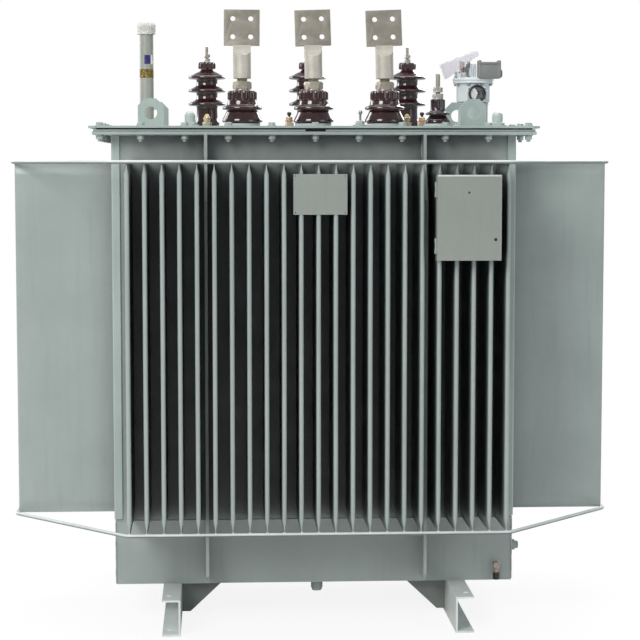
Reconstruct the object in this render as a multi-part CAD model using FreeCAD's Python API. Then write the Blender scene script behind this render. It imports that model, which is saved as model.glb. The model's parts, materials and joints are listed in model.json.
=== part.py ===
"""Oil-immersed distribution transformer with a corrugated tank and open bushings on the cover.

Frame: origin on the floor at the centre of the foot-hole square, +Z up, low-voltage side facing -Y.
All lengths are in millimetres. Every sub-part is written to parts/NODE.step.
"""

import FreeCAD
import Part
import math
import os
from FreeCAD import Vector

# ---------------------------------------------------------------- driving dimensions
# Skid rails
FOOT_GAUGE = 820.0          # foot-hole square, both ways
FOOT_HOLE_R = 9.0
SKID_HALF_LENGTH = 462.0
SKID_HEIGHT = 100.0
SKID_WEB_X = 376.0          # back of each channel's web
SKID_WIDTH = 50.0
SKID_WEB = 5.3
GUSSET_THICK = 8.0
GUSSET_REACH = 120.0
GUSSET_FOOT = 24.0

# Tank body
TANK_X = 559.0              # half length
TANK_Y = 255.0              # half width
FLOOR_Z = SKID_HEIGHT
BASE_TOP_Z = 280.0
WALL_TOP_Z = 1360.0
BASE_SHEET = 6.0
WALL_SHEET = 3.0

# Cooling fins
FIN_PITCH = 46.5
FIN_THICK = 12.5
FIN_SHEET = 1.5
FIN_SEAM_THICK = 3.0        # the two sheets pressed together
FIN_SEAM = 10.0             # height of the pressed seam
FIN_TAPER = 32.0            # height over which a fin swells to full thickness
FIN_BOTTOM_Z = 282.0
FIN_TOP_Z = 1283.0
LONG_FIN_COUNT = 23
LONG_FIN_DEPTH = 215.0
END_FIN_COUNT = 6
END_FIN_DEPTH = 284.0
TIE_ROD_R = 5.0
TIE_ROD_BEND = 25.0
CORNER_LEG = 22.0           # angle steel around the tank's upright corners
CORNER_THICK = 4.0
CORNER_BOTTOM_Z = 286.0

# Tank flange, gasket and cover
FLANGE_X = 612.0
FLANGE_Y = 310.0
FLANGE_THICK = 8.0
GASKET_THICK = 10.0
GASKET_X = 601.0
GASKET_Y = 299.5
GASKET_WIDTH = 45.0
STOP_BAR_R = 3.5
STOP_BAR_INSET = 6.5        # from the flange's rim to the bar's axis
STOP_BAR_GAP = 28.0         # half of the gap left at the middle of each side
COVER_X = 623.0
COVER_Y = 315.0
COVER_THICK = 6.0
COVER_CORNER = 20.0
FLANGE_TOP_Z = WALL_TOP_Z + FLANGE_THICK
COVER_UNDER_Z = FLANGE_TOP_Z + GASKET_THICK
COVER_Z = COVER_UNDER_Z + COVER_THICK

# Cover bolts, M12
BOLT_R = 6.0
BOLT_HOLE_R = 7.0
BOLT_FLATS = 18.0
BOLT_HEAD = 7.5
NUT_HEIGHT = 10.8
WASHER_R = 12.0
WASHER_THICK = 2.5
BOLT_LINE_X = 592.0
BOLT_LINE_Y = 291.0
BOLT_TAIL = 7.0
LONG_BOLT_X = [120.0 * i for i in range(-4, 5)] + [-BOLT_LINE_X, BOLT_LINE_X]
END_BOLT_Y = [-145.5, 0.0, 145.5]

# Lifting lugs
LUG_WIDTH = 72.0
LUG_HEIGHT = 79.0
LUG_THICK = 12.0
LUG_CHAMFER = 20.0
LUG_HOLE_R = 18.0
LUG_HOLE_Z = COVER_Z + 38.5
LUG_PLACES = [(-457.0, -150.0), (-451.0, 175.0), (457.0, -150.0), (451.0, 175.0)]

# Bushings
LV_PLACES = [(x, -195.0) for x in (-200.0, 0.0, 200.0)]
HV_PLACES = [(x, 170.0) for x in (-300.0, 0.0, 300.0)]
NEUTRAL_PLACE = (350.0, -195.0)
SEAL_THICK = 3.0
BOSS_HEIGHT = 8.0           # raised rings that carry the bushings
BUSHING_Z = COVER_Z + BOSS_HEIGHT + SEAL_THICK
RUN_GAP = 0.05              # radial gap that keeps neighbouring pieces just apart

LV_STUD_R = 15.0
LV_BASE_R = 56.0
LV_HOLE_R = 32.0
LV_SLEEVE_R = 31.0
LV_CAP_R = 41.0
LV_CAP_FLUTES = 18
LV_NUT_FLATS = 46.0
PALM_SIDE = 100.0
PALM_THICK = 10.0
PALM_PITCH = 50.0
PALM_HOLE_R = 7.0
PALM_Z = 1658.0             # centre of the palm
CLAMP_R = 25.0
CLAMP_BOTTOM_Z = 1517.0
CLAMP_TOP_Z = 1581.0        # where the barrel starts to narrow to the flat
NECK_Z = 1601.0             # where it has narrowed

HV_STUD_R = 5.0
HV_BASE_R = 37.0
HV_BODY_R = 31.0
HV_SHED_R = 55.0
HV_SHEDS_Z = [1458.0, 1498.0, 1537.0]
HV_CAP_LOBES = 8
HV_HOLE_R = 32.0
HV_STUD_TOP_Z = 1626.0

NEUTRAL_STUD_R = 7.0
NEUTRAL_BASE_R = 35.5
NEUTRAL_HOLE_R = 22.0
NEUTRAL_STUD_TOP_Z = 1531.0

# Fittings on the cover
FILLER_PLACE = (-473.0, 0.0)
FILLER_R = 20.0
FILLER_BORE_R = 17.0
FILLER_TOP_Z = 1668.0
FILLER_CAP_R = 26.5
FILLER_CAP_BOTTOM_Z = 1650.5
FILLER_CAP_TOP_Z = 1685.0
FLOAT_STEM_TOP_Z = 1632.0
POCKET_PLACES = [(-346.0, -195.0), (519.0, -195.0)]
POCKET_SLEEVE_R = 13.0
VENT_SHANK_R = 6.0
RELIEF_HOLE_R = 9.0
TAP_GUIDE_R = 14.0
VENT_PLACES = [(-299.0, -105.0), (-65.0, -105.0), (272.0, -105.0), (315.0, -105.0)]
VENT_KNOB_INDEX = (1, 3)    # the vents that carry a round black knob
RELIEF_PLACE = (139.0, -95.0)
TAP_PLACE = (-198.0, 200.0)

# Gas relay
RELAY_PLACE = (480.0, 30.0)
RELAY_PIPE_R = 43.0
RELAY_BODY_R = 48.5
RELAY_BODY_Z = (1459.0, 1513.0)
RELAY_HEAD_R = 60.0
RELAY_MOUTH_R = 30.0
RELAY_HEAD_TOP_Z = 1529.0
WINDOW_BOSS_R = 32.0
WINDOW_R = 25.0
WINDOW_SIGHT_R = 20.0
WINDOW_SHIFT = 5.0              # the sight glass sits this far right of the axis
WINDOW_Z = 1483.0
HOOD_HINGE = (-46.0, 1545.0)    # from the relay axis, and height
HOOD_ANGLE = 20.6
RELAY_BOX_X = (7.0, 72.0)       # from the relay axis
RELAY_BOX_Y = (-66.0, -32.0)    # from the relay axis
RELAY_BOX_TOP_Z = 1574.0
RELAY_SEAT_DEPTH = 3.0          # shallow recess milled for the box

# Plates and boxes hung on the front fins
FIN_TIP_Y = -(TANK_Y + LONG_FIN_DEPTH)
PLATE_SIZE = (144.0, 108.0)
PLATE_CENTRE = (4.0, 1199.0)
BOX_SIZE = (172.0, 228.0)
BOX_CENTRE = (400.0, 1137.0)
BOX_DEPTH = 38.0
BOX_SHEET = 1.5
DOOR_THICK = 2.0
DOOR_GAP = 0.5
DOOR_BACK_Y = FIN_TIP_Y - RUN_GAP - BOX_DEPTH - DOOR_GAP
KNUCKLE_R = 3.0
HINGE_PIN_R = 1.5
HINGE_RISE = (-75.0, 75.0)  # hinge heights from the box centre
LATCH_INSET = (15.5, 58.0)  # from the door's right edge, and below its centre
LATCH_R = 3.0

# Fittings on the tank wall
VALVE_PLACE = (514.0, 147.0)
DRAIN_PLACE = (8.0, -205.0)
EARTH_PLACE = (-215.0, 193.0)
TAPPED_HOLE_R = 6.0

# Active part inside the tank
LIMB_PITCH = 345.0
LIMB_R = 84.0
YOKE_HEIGHT = 165.0
YOKE_DEPTH = 150.0
CORE_BOTTOM_Z = 140.0
WINDOW_HEIGHT = 600.0
LV_COIL = (92.0, 118.0)
HV_COIL = (128.0, 162.0)
LV_COIL_HEIGHT = 590.0
HV_COIL_HEIGHT = 560.0
HV_LEAD_R = 5.0
LV_BAR = (50.0, 8.0)        # width and thickness of the low-voltage bars
INNER_STUD_Z = 1269.5       # where the low-voltage bars meet their studs

Z_AXIS = Vector(0, 0, 1)
Y_AXIS = Vector(0, 1, 0)
X_AXIS = Vector(1, 0, 0)


# ---------------------------------------------------------------- helpers
def save(node, shape):
    """Write one sub-part."""
    shape.exportStep("parts/" + node + ".step")


def group(shapes):
    """Several separate solids in one node."""
    return Part.makeCompound(shapes)


def join(shapes):
    """One solid from touching or overlapping shapes."""
    whole = shapes[0].fuse(shapes[1:])
    return whole.removeSplitter()


def block(x, y, z):
    """A box given by its low and high value on each axis."""
    return Part.makeBox(x[1] - x[0], y[1] - y[0], z[1] - z[0], Vector(x[0], y[0], z[0]))


def rod(place, z, radius):
    """An upright cylinder at (x, y) between two heights."""
    return Part.makeCylinder(radius, z[1] - z[0], Vector(place[0], place[1], z[0]))


def tube(place, z, inner, outer):
    """An upright ring or tube."""
    return rod(place, z, outer).cut(rod(place, (z[0] - 1, z[1] + 1), inner))


def turned(place, outline):
    """An upright turned solid from (radius, height) points."""
    wire = Part.makePolygon([Vector(r, 0, z) for r, z in outline + [outline[0]]])
    solid = Part.Face(wire).revolve(Vector(0, 0, 0), Z_AXIS, 360)
    solid.translate(Vector(place[0], place[1], 0))
    return solid


def prism(points, plane, low, high):
    """A flat outline pushed along the axis missing from plane ('xz', 'xy' or 'yz')."""
    place = {
        "xz": lambda a, b: Vector(a, low, b),
        "xy": lambda a, b: Vector(a, b, low),
        "yz": lambda a, b: Vector(low, a, b),
    }[plane]
    push = {"xz": Y_AXIS, "xy": Z_AXIS, "yz": X_AXIS}[plane] * (high - low)
    wire = Part.makePolygon([place(a, b) for a, b in points + [points[0]]])
    return Part.Face(wire).extrude(push)


def hexagon(place, z, flats):
    """An upright hexagonal prism."""
    radius = flats / math.sqrt(3)
    corners = [(place[0] + radius * math.cos(math.radians(60 * i)),
                place[1] + radius * math.sin(math.radians(60 * i))) for i in range(6)]
    return prism(corners, "xy", z[0], z[1])


def nut(place, z, flats, bore):
    """A hexagon with both ends turned to a cone, and a bore."""
    body = hexagon(place, z, flats)
    face = 0.47 * flats
    edge = flats / math.sqrt(3)
    slope = (edge - face) * 0.5
    dome = turned(place, [(0, z[0]), (face, z[0]), (edge + 1, z[0] + slope), (edge + 1, z[1] - slope),
                          (face, z[1]), (0, z[1])])
    body = body.common(dome)
    if bore:
        body = body.cut(rod(place, (z[0] - 1, z[1] + 1), bore))
    return body


def bent_loop(corners, z, bend, radius):
    """A closed round bar through level (x, y) corners, each bent to a radius."""
    points = [Vector(x, y, z) for x, y in corners]
    edges = []
    last_end = None
    first_start = None
    for i, corner in enumerate(points):
        back = (points[i - 1] - corner).normalize()
        ahead = (points[(i + 1) % len(points)] - corner).normalize()
        half_angle = back.getAngle(ahead) / 2
        trim = bend / math.tan(half_angle)
        start = corner + back * trim
        end = corner + ahead * trim
        middle = (back + ahead).normalize() * (bend / math.sin(half_angle) - bend)
        if last_end is None:
            first_start = start
        else:
            edges.append(Part.makeLine(last_end, start))
        edges.append(Part.Arc(start, corner + middle, end).toShape())
        last_end = end
    edges.append(Part.makeLine(last_end, first_start))
    path = Part.Wire(edges)
    tangent = edges[0].tangentAt(edges[0].FirstParameter)
    start_point = edges[0].valueAt(edges[0].FirstParameter)
    section = Part.Wire([Part.makeCircle(radius, start_point, tangent)])
    return path.makePipeShell([section], True, False)


def ring_plate(x, y, inner_x, inner_y, z):
    """A rectangular ring centred on the frame's Z axis."""
    outer = block((-x, x), (-y, y), z)
    return outer.cut(block((-inner_x, inner_x), (-inner_y, inner_y), (z[0] - 1, z[1] + 1)))


# ---------------------------------------------------------------- feet and tank
def skid_rails():
    """Two channels on edge, webs inboard, with a hole in both flanges at each end."""
    rails = []
    for side in (-1, 1):
        inner = side * SKID_WEB_X
        outer = side * (SKID_WEB_X + SKID_WIDTH)
        web = inner + side * SKID_WEB
        points = [(inner, 0), (outer, 0), (outer, SKID_WEB), (web, SKID_WEB),
                  (web, SKID_HEIGHT - SKID_WEB), (outer, SKID_HEIGHT - SKID_WEB),
                  (outer, SKID_HEIGHT), (inner, SKID_HEIGHT)]
        rail = prism(points, "xz", -SKID_HALF_LENGTH, SKID_HALF_LENGTH)
        for end in (-1, 1):
            place = (side * FOOT_GAUGE / 2, end * FOOT_GAUGE / 2)
            rail = rail.cut(rod(place, (-1, SKID_HEIGHT + 1), FOOT_HOLE_R))
        rails.append(rail)
    return group(rails)


def skid_gussets():
    """Four triangular plates between the rails' webs and the tank floor."""
    plates = []
    web = SKID_WEB_X
    for side in (-1, 1):
        for y in (-209.0, 209.0):
            points = [(side * web, 10), (side * (web - GUSSET_FOOT), 10),
                      (side * (web - GUSSET_REACH), FLOOR_Z), (side * web, FLOOR_Z)]
            plates.append(prism(points, "xz", y - GUSSET_THICK / 2, y + GUSSET_THICK / 2))
    return group(plates)


def tank_base():
    """The smooth tray that closes the bottom of the tank."""
    tray = block((-TANK_X, TANK_X), (-TANK_Y, TANK_Y), (FLOOR_Z, BASE_TOP_Z))
    inside = block((-TANK_X + BASE_SHEET, TANK_X - BASE_SHEET),
                   (-TANK_Y + BASE_SHEET, TANK_Y - BASE_SHEET),
                   (FLOOR_Z + BASE_SHEET, BASE_TOP_Z + 1))
    tray = tray.cut(inside)
    tray = tray.cut(rod(DRAIN_PLACE, (FLOOR_Z - 1, FLOOR_Z + BASE_SHEET + 1), 8.0))
    sampling_hole = Part.makeCylinder(
        TAPPED_HOLE_R, BASE_SHEET + 2, Vector(VALVE_PLACE[0], -TANK_Y - 1, VALVE_PLACE[1]), Y_AXIS)
    earth_start = Vector(TANK_X - BASE_SHEET - 1, EARTH_PLACE[0], EARTH_PLACE[1])
    earth_hole = Part.makeCylinder(TAPPED_HOLE_R, BASE_SHEET + 2, earth_start, X_AXIS)
    return tray.cut([sampling_hole, earth_hole])


def fin_section(half_thick, depth, z):
    """A fin's outline at one height: straight sides and a half-round tip."""
    tip = depth - half_thick
    sides = [Part.makeLine(Vector(-half_thick, 0, z), Vector(-half_thick, tip, z)),
             Part.Arc(Vector(-half_thick, tip, z), Vector(0, depth, z),
                      Vector(half_thick, tip, z)).toShape(),
             Part.makeLine(Vector(half_thick, tip, z), Vector(half_thick, 0, z)),
             Part.makeLine(Vector(half_thick, 0, z), Vector(-half_thick, 0, z))]
    return Part.Wire(sides)


def fin(depth):
    """One hollow fin that stands out along +Y from y = 0, open towards the tank."""
    full = FIN_THICK / 2
    thin = FIN_SEAM_THICK / 2
    outer = Part.makeLoft(
        [fin_section(thin, depth, FIN_BOTTOM_Z),
         fin_section(thin, depth, FIN_BOTTOM_Z + FIN_SEAM),
         fin_section(full, depth, FIN_BOTTOM_Z + FIN_TAPER),
         fin_section(full, depth, FIN_TOP_Z - FIN_TAPER),
         fin_section(thin, depth, FIN_TOP_Z - FIN_SEAM),
         fin_section(thin, depth, FIN_TOP_Z)], True, True)
    slim = 0.2
    reach = depth - FIN_SHEET
    inner = Part.makeLoft(
        [fin_section(slim, reach, FIN_BOTTOM_Z + FIN_SEAM + 2),
         fin_section(full - FIN_SHEET, reach, FIN_BOTTOM_Z + FIN_TAPER),
         fin_section(full - FIN_SHEET, reach, FIN_TOP_Z - FIN_TAPER),
         fin_section(slim, reach, FIN_TOP_Z - FIN_SEAM - 2)], True, True)
    return outer, inner


def finned_wall(half_length, count, depth):
    """A wall sheet with hollow fins, built facing +Y with its outer face at y = 0."""
    sheet = block((-half_length, half_length), (-WALL_SHEET, 0), (BASE_TOP_Z, WALL_TOP_Z))
    outer, inner = fin(depth)
    inner = inner.fuse(inner.translated(Vector(0, -WALL_SHEET - 1, 0)))
    places = [Vector((i - (count - 1) / 2) * FIN_PITCH, 0, 0) for i in range(count)]
    wall = sheet.fuse([outer.translated(p) for p in places])
    return wall.cut([inner.translated(p) for p in places])


def tank_wall(side):
    """The finned wall for one side: 'front', 'back', 'left' or 'right'."""
    turn = {"front": 180, "back": 0, "left": 90, "right": -90}[side]
    if side in ("front", "back"):
        wall = finned_wall(TANK_X, LONG_FIN_COUNT, LONG_FIN_DEPTH)
        wall.translate(Vector(0, TANK_Y, 0))
    else:
        wall = finned_wall(TANK_Y - WALL_SHEET, END_FIN_COUNT, END_FIN_DEPTH)
        wall.translate(Vector(0, TANK_X, 0))
    wall.rotate(Vector(0, 0, 0), Z_AXIS, turn)
    return wall


def fin_tie_rods():
    """Round bars that loop around the fin tips, one near the top and one near the bottom."""
    long_x = (LONG_FIN_COUNT - 1) / 2 * FIN_PITCH + 8
    long_y = TANK_Y + LONG_FIN_DEPTH + TIE_ROD_R + RUN_GAP
    end_x = TANK_X + END_FIN_DEPTH + TIE_ROD_R + RUN_GAP
    end_y = (END_FIN_COUNT - 1) / 2 * FIN_PITCH + 8
    quarter = [(long_x, long_y), (end_x, end_y)]
    corners = (quarter
               + [(x, -y) for x, y in reversed(quarter)]
               + [(-x, -y) for x, y in quarter]
               + [(-x, y) for x, y in reversed(quarter)])
    heights = (FIN_BOTTOM_Z - 2, FIN_TOP_Z + 2)
    return group([bent_loop(corners, z, TIE_ROD_BEND, TIE_ROD_R) for z in heights])


def tank_stiffeners():
    """Upright flat bars on edge, two on the front wall and two on the back wall."""
    bars = []
    reach = 100.0
    thick = 8.0
    for x in (-6.5 * FIN_PITCH, 6.5 * FIN_PITCH):
        for side in (-1, 1):
            near = side * (TANK_Y + RUN_GAP)
            far = side * (TANK_Y + reach)
            slim = side * (TANK_Y + 55.0)
            points = [(near, FLOOR_Z + 20), (far - side * 20, FLOOR_Z + 20), (far, FLOOR_Z + 40),
                      (far, 1180.0), (slim, 1270.0), (slim, WALL_TOP_Z), (near, WALL_TOP_Z)]
            bars.append(prism(points, "yz", x - thick / 2, x + thick / 2))
    return group(bars)


def corner_posts():
    """Angle steel around the tank's upright corners, from the base seam to the flange."""
    posts = []
    near_x = TANK_X + RUN_GAP
    near_y = TANK_Y + RUN_GAP
    far_x = TANK_X + CORNER_THICK
    far_y = TANK_Y + CORNER_THICK
    for sx in (-1, 1):
        for sy in (-1, 1):
            outline = [(near_x, near_y), (near_x, far_y - CORNER_LEG), (far_x, far_y - CORNER_LEG),
                       (far_x, far_y - 3), (far_x - 3, far_y), (far_x - CORNER_LEG, far_y),
                       (far_x - CORNER_LEG, near_y)]
            points = [(sx * x, sy * y) for x, y in outline]
            posts.append(prism(points, "xy", CORNER_BOTTOM_Z, WALL_TOP_Z))
    return group(posts)


# ---------------------------------------------------------------- flange, cover and bolts
def bolt_places():
    """The (x, y) places of the cover bolts."""
    places = [(x, side * BOLT_LINE_Y) for side in (-1, 1) for x in LONG_BOLT_X]
    return places + [(side * BOLT_LINE_X, y) for side in (-1, 1) for y in END_BOLT_Y]


def tank_flange():
    """The drilled ring welded around the tank's mouth."""
    ring = ring_plate(FLANGE_X, FLANGE_Y, TANK_X - WALL_SHEET, TANK_Y - WALL_SHEET,
                      (WALL_TOP_Z, FLANGE_TOP_Z))
    return ring.cut([rod(p, (WALL_TOP_Z - 1, FLANGE_TOP_Z + 1), BOLT_HOLE_R) for p in bolt_places()])


def cover_gasket():
    """The drilled rubber ring between flange and cover."""
    ring = ring_plate(GASKET_X, GASKET_Y, GASKET_X - GASKET_WIDTH, GASKET_Y - GASKET_WIDTH,
                      (FLANGE_TOP_Z, COVER_UNDER_Z))
    return ring.cut([rod(p, (FLANGE_TOP_Z - 1, COVER_UNDER_Z + 1), BOLT_HOLE_R) for p in bolt_places()])


def gasket_stop_bars():
    """Round bars along the flange's rim that limit how far the gasket is squeezed."""
    rim_x = FLANGE_X - STOP_BAR_INSET
    rim_y = FLANGE_Y - STOP_BAR_INSET
    z = FLANGE_TOP_Z + STOP_BAR_R
    long_length = FLANGE_X - 3 - STOP_BAR_GAP
    end_length = 2 * (rim_y - STOP_BAR_R - 1)
    bars = []
    for side in (-1, 1):
        for start in (-FLANGE_X + 3, STOP_BAR_GAP):
            bars.append(Part.makeCylinder(STOP_BAR_R, long_length, Vector(start, side * rim_y, z), X_AXIS))
        bars.append(Part.makeCylinder(STOP_BAR_R, end_length,
                                      Vector(side * rim_x, -end_length / 2, z), Y_AXIS))
    return group(bars)


def cover_plate():
    """The bolted cover with its corner chamfers and every opening."""
    a = COVER_X
    b = COVER_Y
    c = COVER_CORNER
    outline = [(-a + c, -b), (a - c, -b), (a, -b + c), (a, b - c),
               (a - c, b), (-a + c, b), (-a, b - c), (-a, -b + c)]
    plate = prism(outline, "xy", COVER_UNDER_Z, COVER_Z)
    openings = [(p, BOLT_HOLE_R) for p in bolt_places()]
    openings += [(p, LV_HOLE_R) for p in LV_PLACES]
    openings += [(p, HV_HOLE_R) for p in HV_PLACES]
    openings += [(NEUTRAL_PLACE, NEUTRAL_HOLE_R)]
    openings += [(FILLER_PLACE, FILLER_R + RUN_GAP)]
    openings += [(p, POCKET_SLEEVE_R + RUN_GAP) for p in POCKET_PLACES]
    openings += [(p, VENT_SHANK_R + RUN_GAP) for p in VENT_PLACES]
    openings += [(RELIEF_PLACE, RELIEF_HOLE_R), (TAP_PLACE, TAP_GUIDE_R + RUN_GAP),
                 (RELAY_PLACE, RELAY_MOUTH_R)]
    return plate.cut([rod(p, (COVER_UNDER_Z - 1, COVER_Z + 1), r) for p, r in openings])


def cover_bolts():
    """Hexagon bolts, heads on top of the cover."""
    bolts = []
    seat = COVER_Z + WASHER_THICK
    for place in bolt_places():
        tail = WALL_TOP_Z - WASHER_THICK - NUT_HEIGHT - BOLT_TAIL
        shank = rod(place, (tail, seat + 1), BOLT_R)
        head = nut(place, (seat, seat + BOLT_HEAD), BOLT_FLATS, 0)
        bolts.append(join([shank, head]))
    return group(bolts)


def cover_nuts():
    """Hexagon nuts under the flange."""
    top = WALL_TOP_Z - WASHER_THICK
    return group([nut(p, (top - NUT_HEIGHT, top), BOLT_FLATS, BOLT_R + RUN_GAP) for p in bolt_places()])


def cover_washers():
    """Plain washers under each bolt head and above each nut."""
    rings = []
    for place in bolt_places():
        for low in (COVER_Z, WALL_TOP_Z - WASHER_THICK):
            rings.append(tube(place, (low, low + WASHER_THICK), BOLT_R + RUN_GAP, WASHER_R))
    return group(rings)


def lifting_lugs():
    """Four upright plates with chamfered tops and a round eye."""
    lugs = []
    half = LUG_WIDTH / 2
    top = COVER_Z + LUG_HEIGHT
    for x, y in LUG_PLACES:
        points = [(x - half, COVER_Z), (x + half, COVER_Z), (x + half, top - LUG_CHAMFER),
                  (x + half - LUG_CHAMFER, top), (x - half + LUG_CHAMFER, top),
                  (x - half, top - LUG_CHAMFER)]
        lug = prism(points, "xz", y - LUG_THICK / 2, y + LUG_THICK / 2)
        eye = Part.makeCylinder(LUG_HOLE_R, LUG_THICK + 2,
                                Vector(x, y - LUG_THICK / 2 - 1, LUG_HOLE_Z), Y_AXIS)
        lugs.append(lug.cut(eye))
    return group(lugs)


# ---------------------------------------------------------------- bushings
def fluted(solid, place, z, radius, count, groove):
    """Cut upright grooves around a turned solid."""
    cuts = []
    for i in range(count):
        angle = 2 * math.pi * i / count
        spot = (place[0] + radius * math.cos(angle), place[1] + radius * math.sin(angle))
        cuts.append(rod(spot, z, groove))
    return solid.cut(cuts)


def lv_porcelains():
    """Per phase: a skirted upper insulator, a fluted cap and a lower sleeve under the cover."""
    solids = []
    base = BUSHING_Z
    bore = LV_STUD_R + 1
    collar_top = COVER_UNDER_Z - SEAL_THICK
    for place in LV_PLACES:
        upper = turned(place, [(bore, base), (LV_BASE_R, base), (LV_BASE_R, base + 6),
                               (51, base + 15), (44, base + 30), (42, base + 36), (53, base + 37),
                               (55, base + 40), (54, base + 43), (40, base + 47), (37.5, base + 51),
                               (37.5, 1456), (bore, 1456)])
        cap = turned(place, [(bore, 1456), (LV_CAP_R - 3, 1456), (LV_CAP_R, 1460),
                             (LV_CAP_R, 1479), (LV_CAP_R - 3, 1483), (bore, 1483)])
        cap = fluted(cap, place, (1458, 1490), LV_CAP_R + 2, LV_CAP_FLUTES, 4)
        sleeve = turned(place, [(bore, 1318), (LV_SLEEVE_R, 1318), (LV_SLEEVE_R, 1352),
                                (44, 1352), (44, collar_top), (LV_SLEEVE_R, collar_top),
                                (LV_SLEEVE_R, base), (bore, base)])
        solids += [upper, cap, sleeve]
    return group(solids)


def lv_studs():
    """Threaded copper studs through the low-voltage bushings."""
    return group([rod(p, (INNER_STUD_Z + 0.5, CLAMP_TOP_Z - 2), LV_STUD_R) for p in LV_PLACES])


def lv_nuts():
    """The nut and washer on each low-voltage cap, and the nut below each sleeve."""
    solids = []
    bore = LV_STUD_R + RUN_GAP
    for place in LV_PLACES:
        solids.append(tube(place, (1483, 1487), bore, 24.0))
        solids.append(nut(place, (1487, 1509), LV_NUT_FLATS, bore))
        solids.append(nut(place, (1300, 1318), LV_NUT_FLATS, bore))
    return group(solids)


def lv_terminals():
    """Clamp barrels that narrow into square four-hole palms."""
    solids = []
    half = PALM_SIDE / 2
    bottom = PALM_Z - half
    flat = PALM_THICK / 2
    for x, y in LV_PLACES:
        round_bar = rod((x, y), (CLAMP_BOTTOM_Z, bottom + 4), CLAMP_R)
        narrowing = [(y - CLAMP_R - 1, CLAMP_BOTTOM_Z - 1), (y + CLAMP_R + 1, CLAMP_BOTTOM_Z - 1),
                     (y + CLAMP_R + 1, CLAMP_TOP_Z - 1), (y + flat, NECK_Z), (y + flat, bottom + 5),
                     (y - flat, bottom + 5), (y - flat, NECK_Z), (y - CLAMP_R - 1, CLAMP_TOP_Z - 1)]
        barrel = round_bar.common(prism(narrowing, "yz", x - CLAMP_R - 1, x + CLAMP_R + 1))
        palm = block((x - half, x + half), (y - flat, y + flat), (bottom, bottom + PALM_SIDE))
        body = join([barrel, palm])
        cuts = [rod((x, y), (CLAMP_BOTTOM_Z - 1, CLAMP_TOP_Z - 2), LV_STUD_R + RUN_GAP)]
        for dx in (-PALM_PITCH / 2, PALM_PITCH / 2):
            for dz in (-PALM_PITCH / 2, PALM_PITCH / 2):
                start = Vector(x + dx, y - PALM_THICK, PALM_Z + dz)
                cuts.append(Part.makeCylinder(PALM_HOLE_R, 2 * PALM_THICK, start, Y_AXIS))
        solids.append(body.cut(cuts))
    return group(solids)


def hv_porcelains():
    """Three-shed insulators with a scalloped cap, each running down through the cover."""
    solids = []
    base = BUSHING_Z
    bore = HV_STUD_R + 0.5
    for place in HV_PLACES:
        outline = [(bore, 1262), (24, 1262), (28, 1280), (28, base), (HV_BASE_R, base),
                   (HV_BASE_R, base + 8), (HV_BODY_R + 1, base + 17)]
        for z in HV_SHEDS_Z:
            outline += [(HV_BODY_R, z - 9), (HV_BODY_R + 4, z - 4), (HV_SHED_R - 3, z - 4),
                        (HV_SHED_R, z - 1), (HV_SHED_R - 2, z + 2), (HV_BODY_R + 4, z + 9)]
        outline += [(19, 1553), (18, 1559), (25, 1561), (26, 1565), (26, 1575), (22, 1581), (bore, 1581)]
        solid = turned(place, outline)
        solids.append(fluted(solid, place, (1560, 1582), 29.5, HV_CAP_LOBES, 6))
    return group(solids)


def grooved_stud(place, z, radius, groove_z):
    """A stud with a narrow thread run-out groove below its free end."""
    return rod(place, z, radius).cut(tube(place, (groove_z, groove_z + 1), radius - 0.4, radius + 1))


def hv_studs():
    """Threaded studs through the high-voltage bushings."""
    return group([grooved_stud(p, (1235.0, HV_STUD_TOP_Z), HV_STUD_R, 1605.0) for p in HV_PLACES])


def neutral_porcelain():
    """The small single-shed insulator of the neutral terminal."""
    base = BUSHING_Z
    bore = NEUTRAL_STUD_R + 0.5
    return turned(NEUTRAL_PLACE, [
        (bore, 1330), (16, 1330), (20, 1340), (20, base), (NEUTRAL_BASE_R, base),
        (NEUTRAL_BASE_R, base + 5), (28, base + 13), (23, base + 21), (33, base + 22),
        (35, base + 25), (33, base + 28), (22, base + 31), (20.5, base + 35),
        (20.5, 1459), (18.5, 1461), (bore, 1461)])


def neutral_stud():
    """The threaded neutral stud."""
    return grooved_stud(NEUTRAL_PLACE, (1300.0, NEUTRAL_STUD_TOP_Z), NEUTRAL_STUD_R, 1495.0)


def stud_nuts():
    """Washers and nuts on the high-voltage and neutral studs."""
    solids = []
    for place in HV_PLACES:
        bore = HV_STUD_R + RUN_GAP
        solids.append(tube(place, (1581, 1583), bore, 10.0))
        solids.append(nut(place, (1583, 1591), 17.0, bore))
        solids.append(tube(place, (1594, 1596), bore, 10.0))
        solids.append(nut(place, (1596, 1604), 17.0, bore))
        solids.append(nut(place, (1254, 1262), 17.0, bore))
    bore = NEUTRAL_STUD_R + RUN_GAP
    solids.append(tube(NEUTRAL_PLACE, (1461, 1464), bore, 15.0))
    solids.append(nut(NEUTRAL_PLACE, (1464, 1476), 27.0, bore))
    solids.append(tube(NEUTRAL_PLACE, (1480, 1483), bore, 14.0))
    solids.append(nut(NEUTRAL_PLACE, (1483, 1494), 24.0, bore))
    solids.append(nut(NEUTRAL_PLACE, (1318, 1330), 24.0, bore))
    return group(solids)


def bushing_bosses():
    """Raised rings welded to the cover, one under each bushing."""
    places = [(p, LV_HOLE_R, 50.0) for p in LV_PLACES]
    places += [(p, HV_HOLE_R, 41.0) for p in HV_PLACES]
    places += [(NEUTRAL_PLACE, NEUTRAL_HOLE_R, 39.0)]
    return group([tube(p, (COVER_Z, COVER_Z + BOSS_HEIGHT), inner, outer) for p, inner, outer in places])


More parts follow.
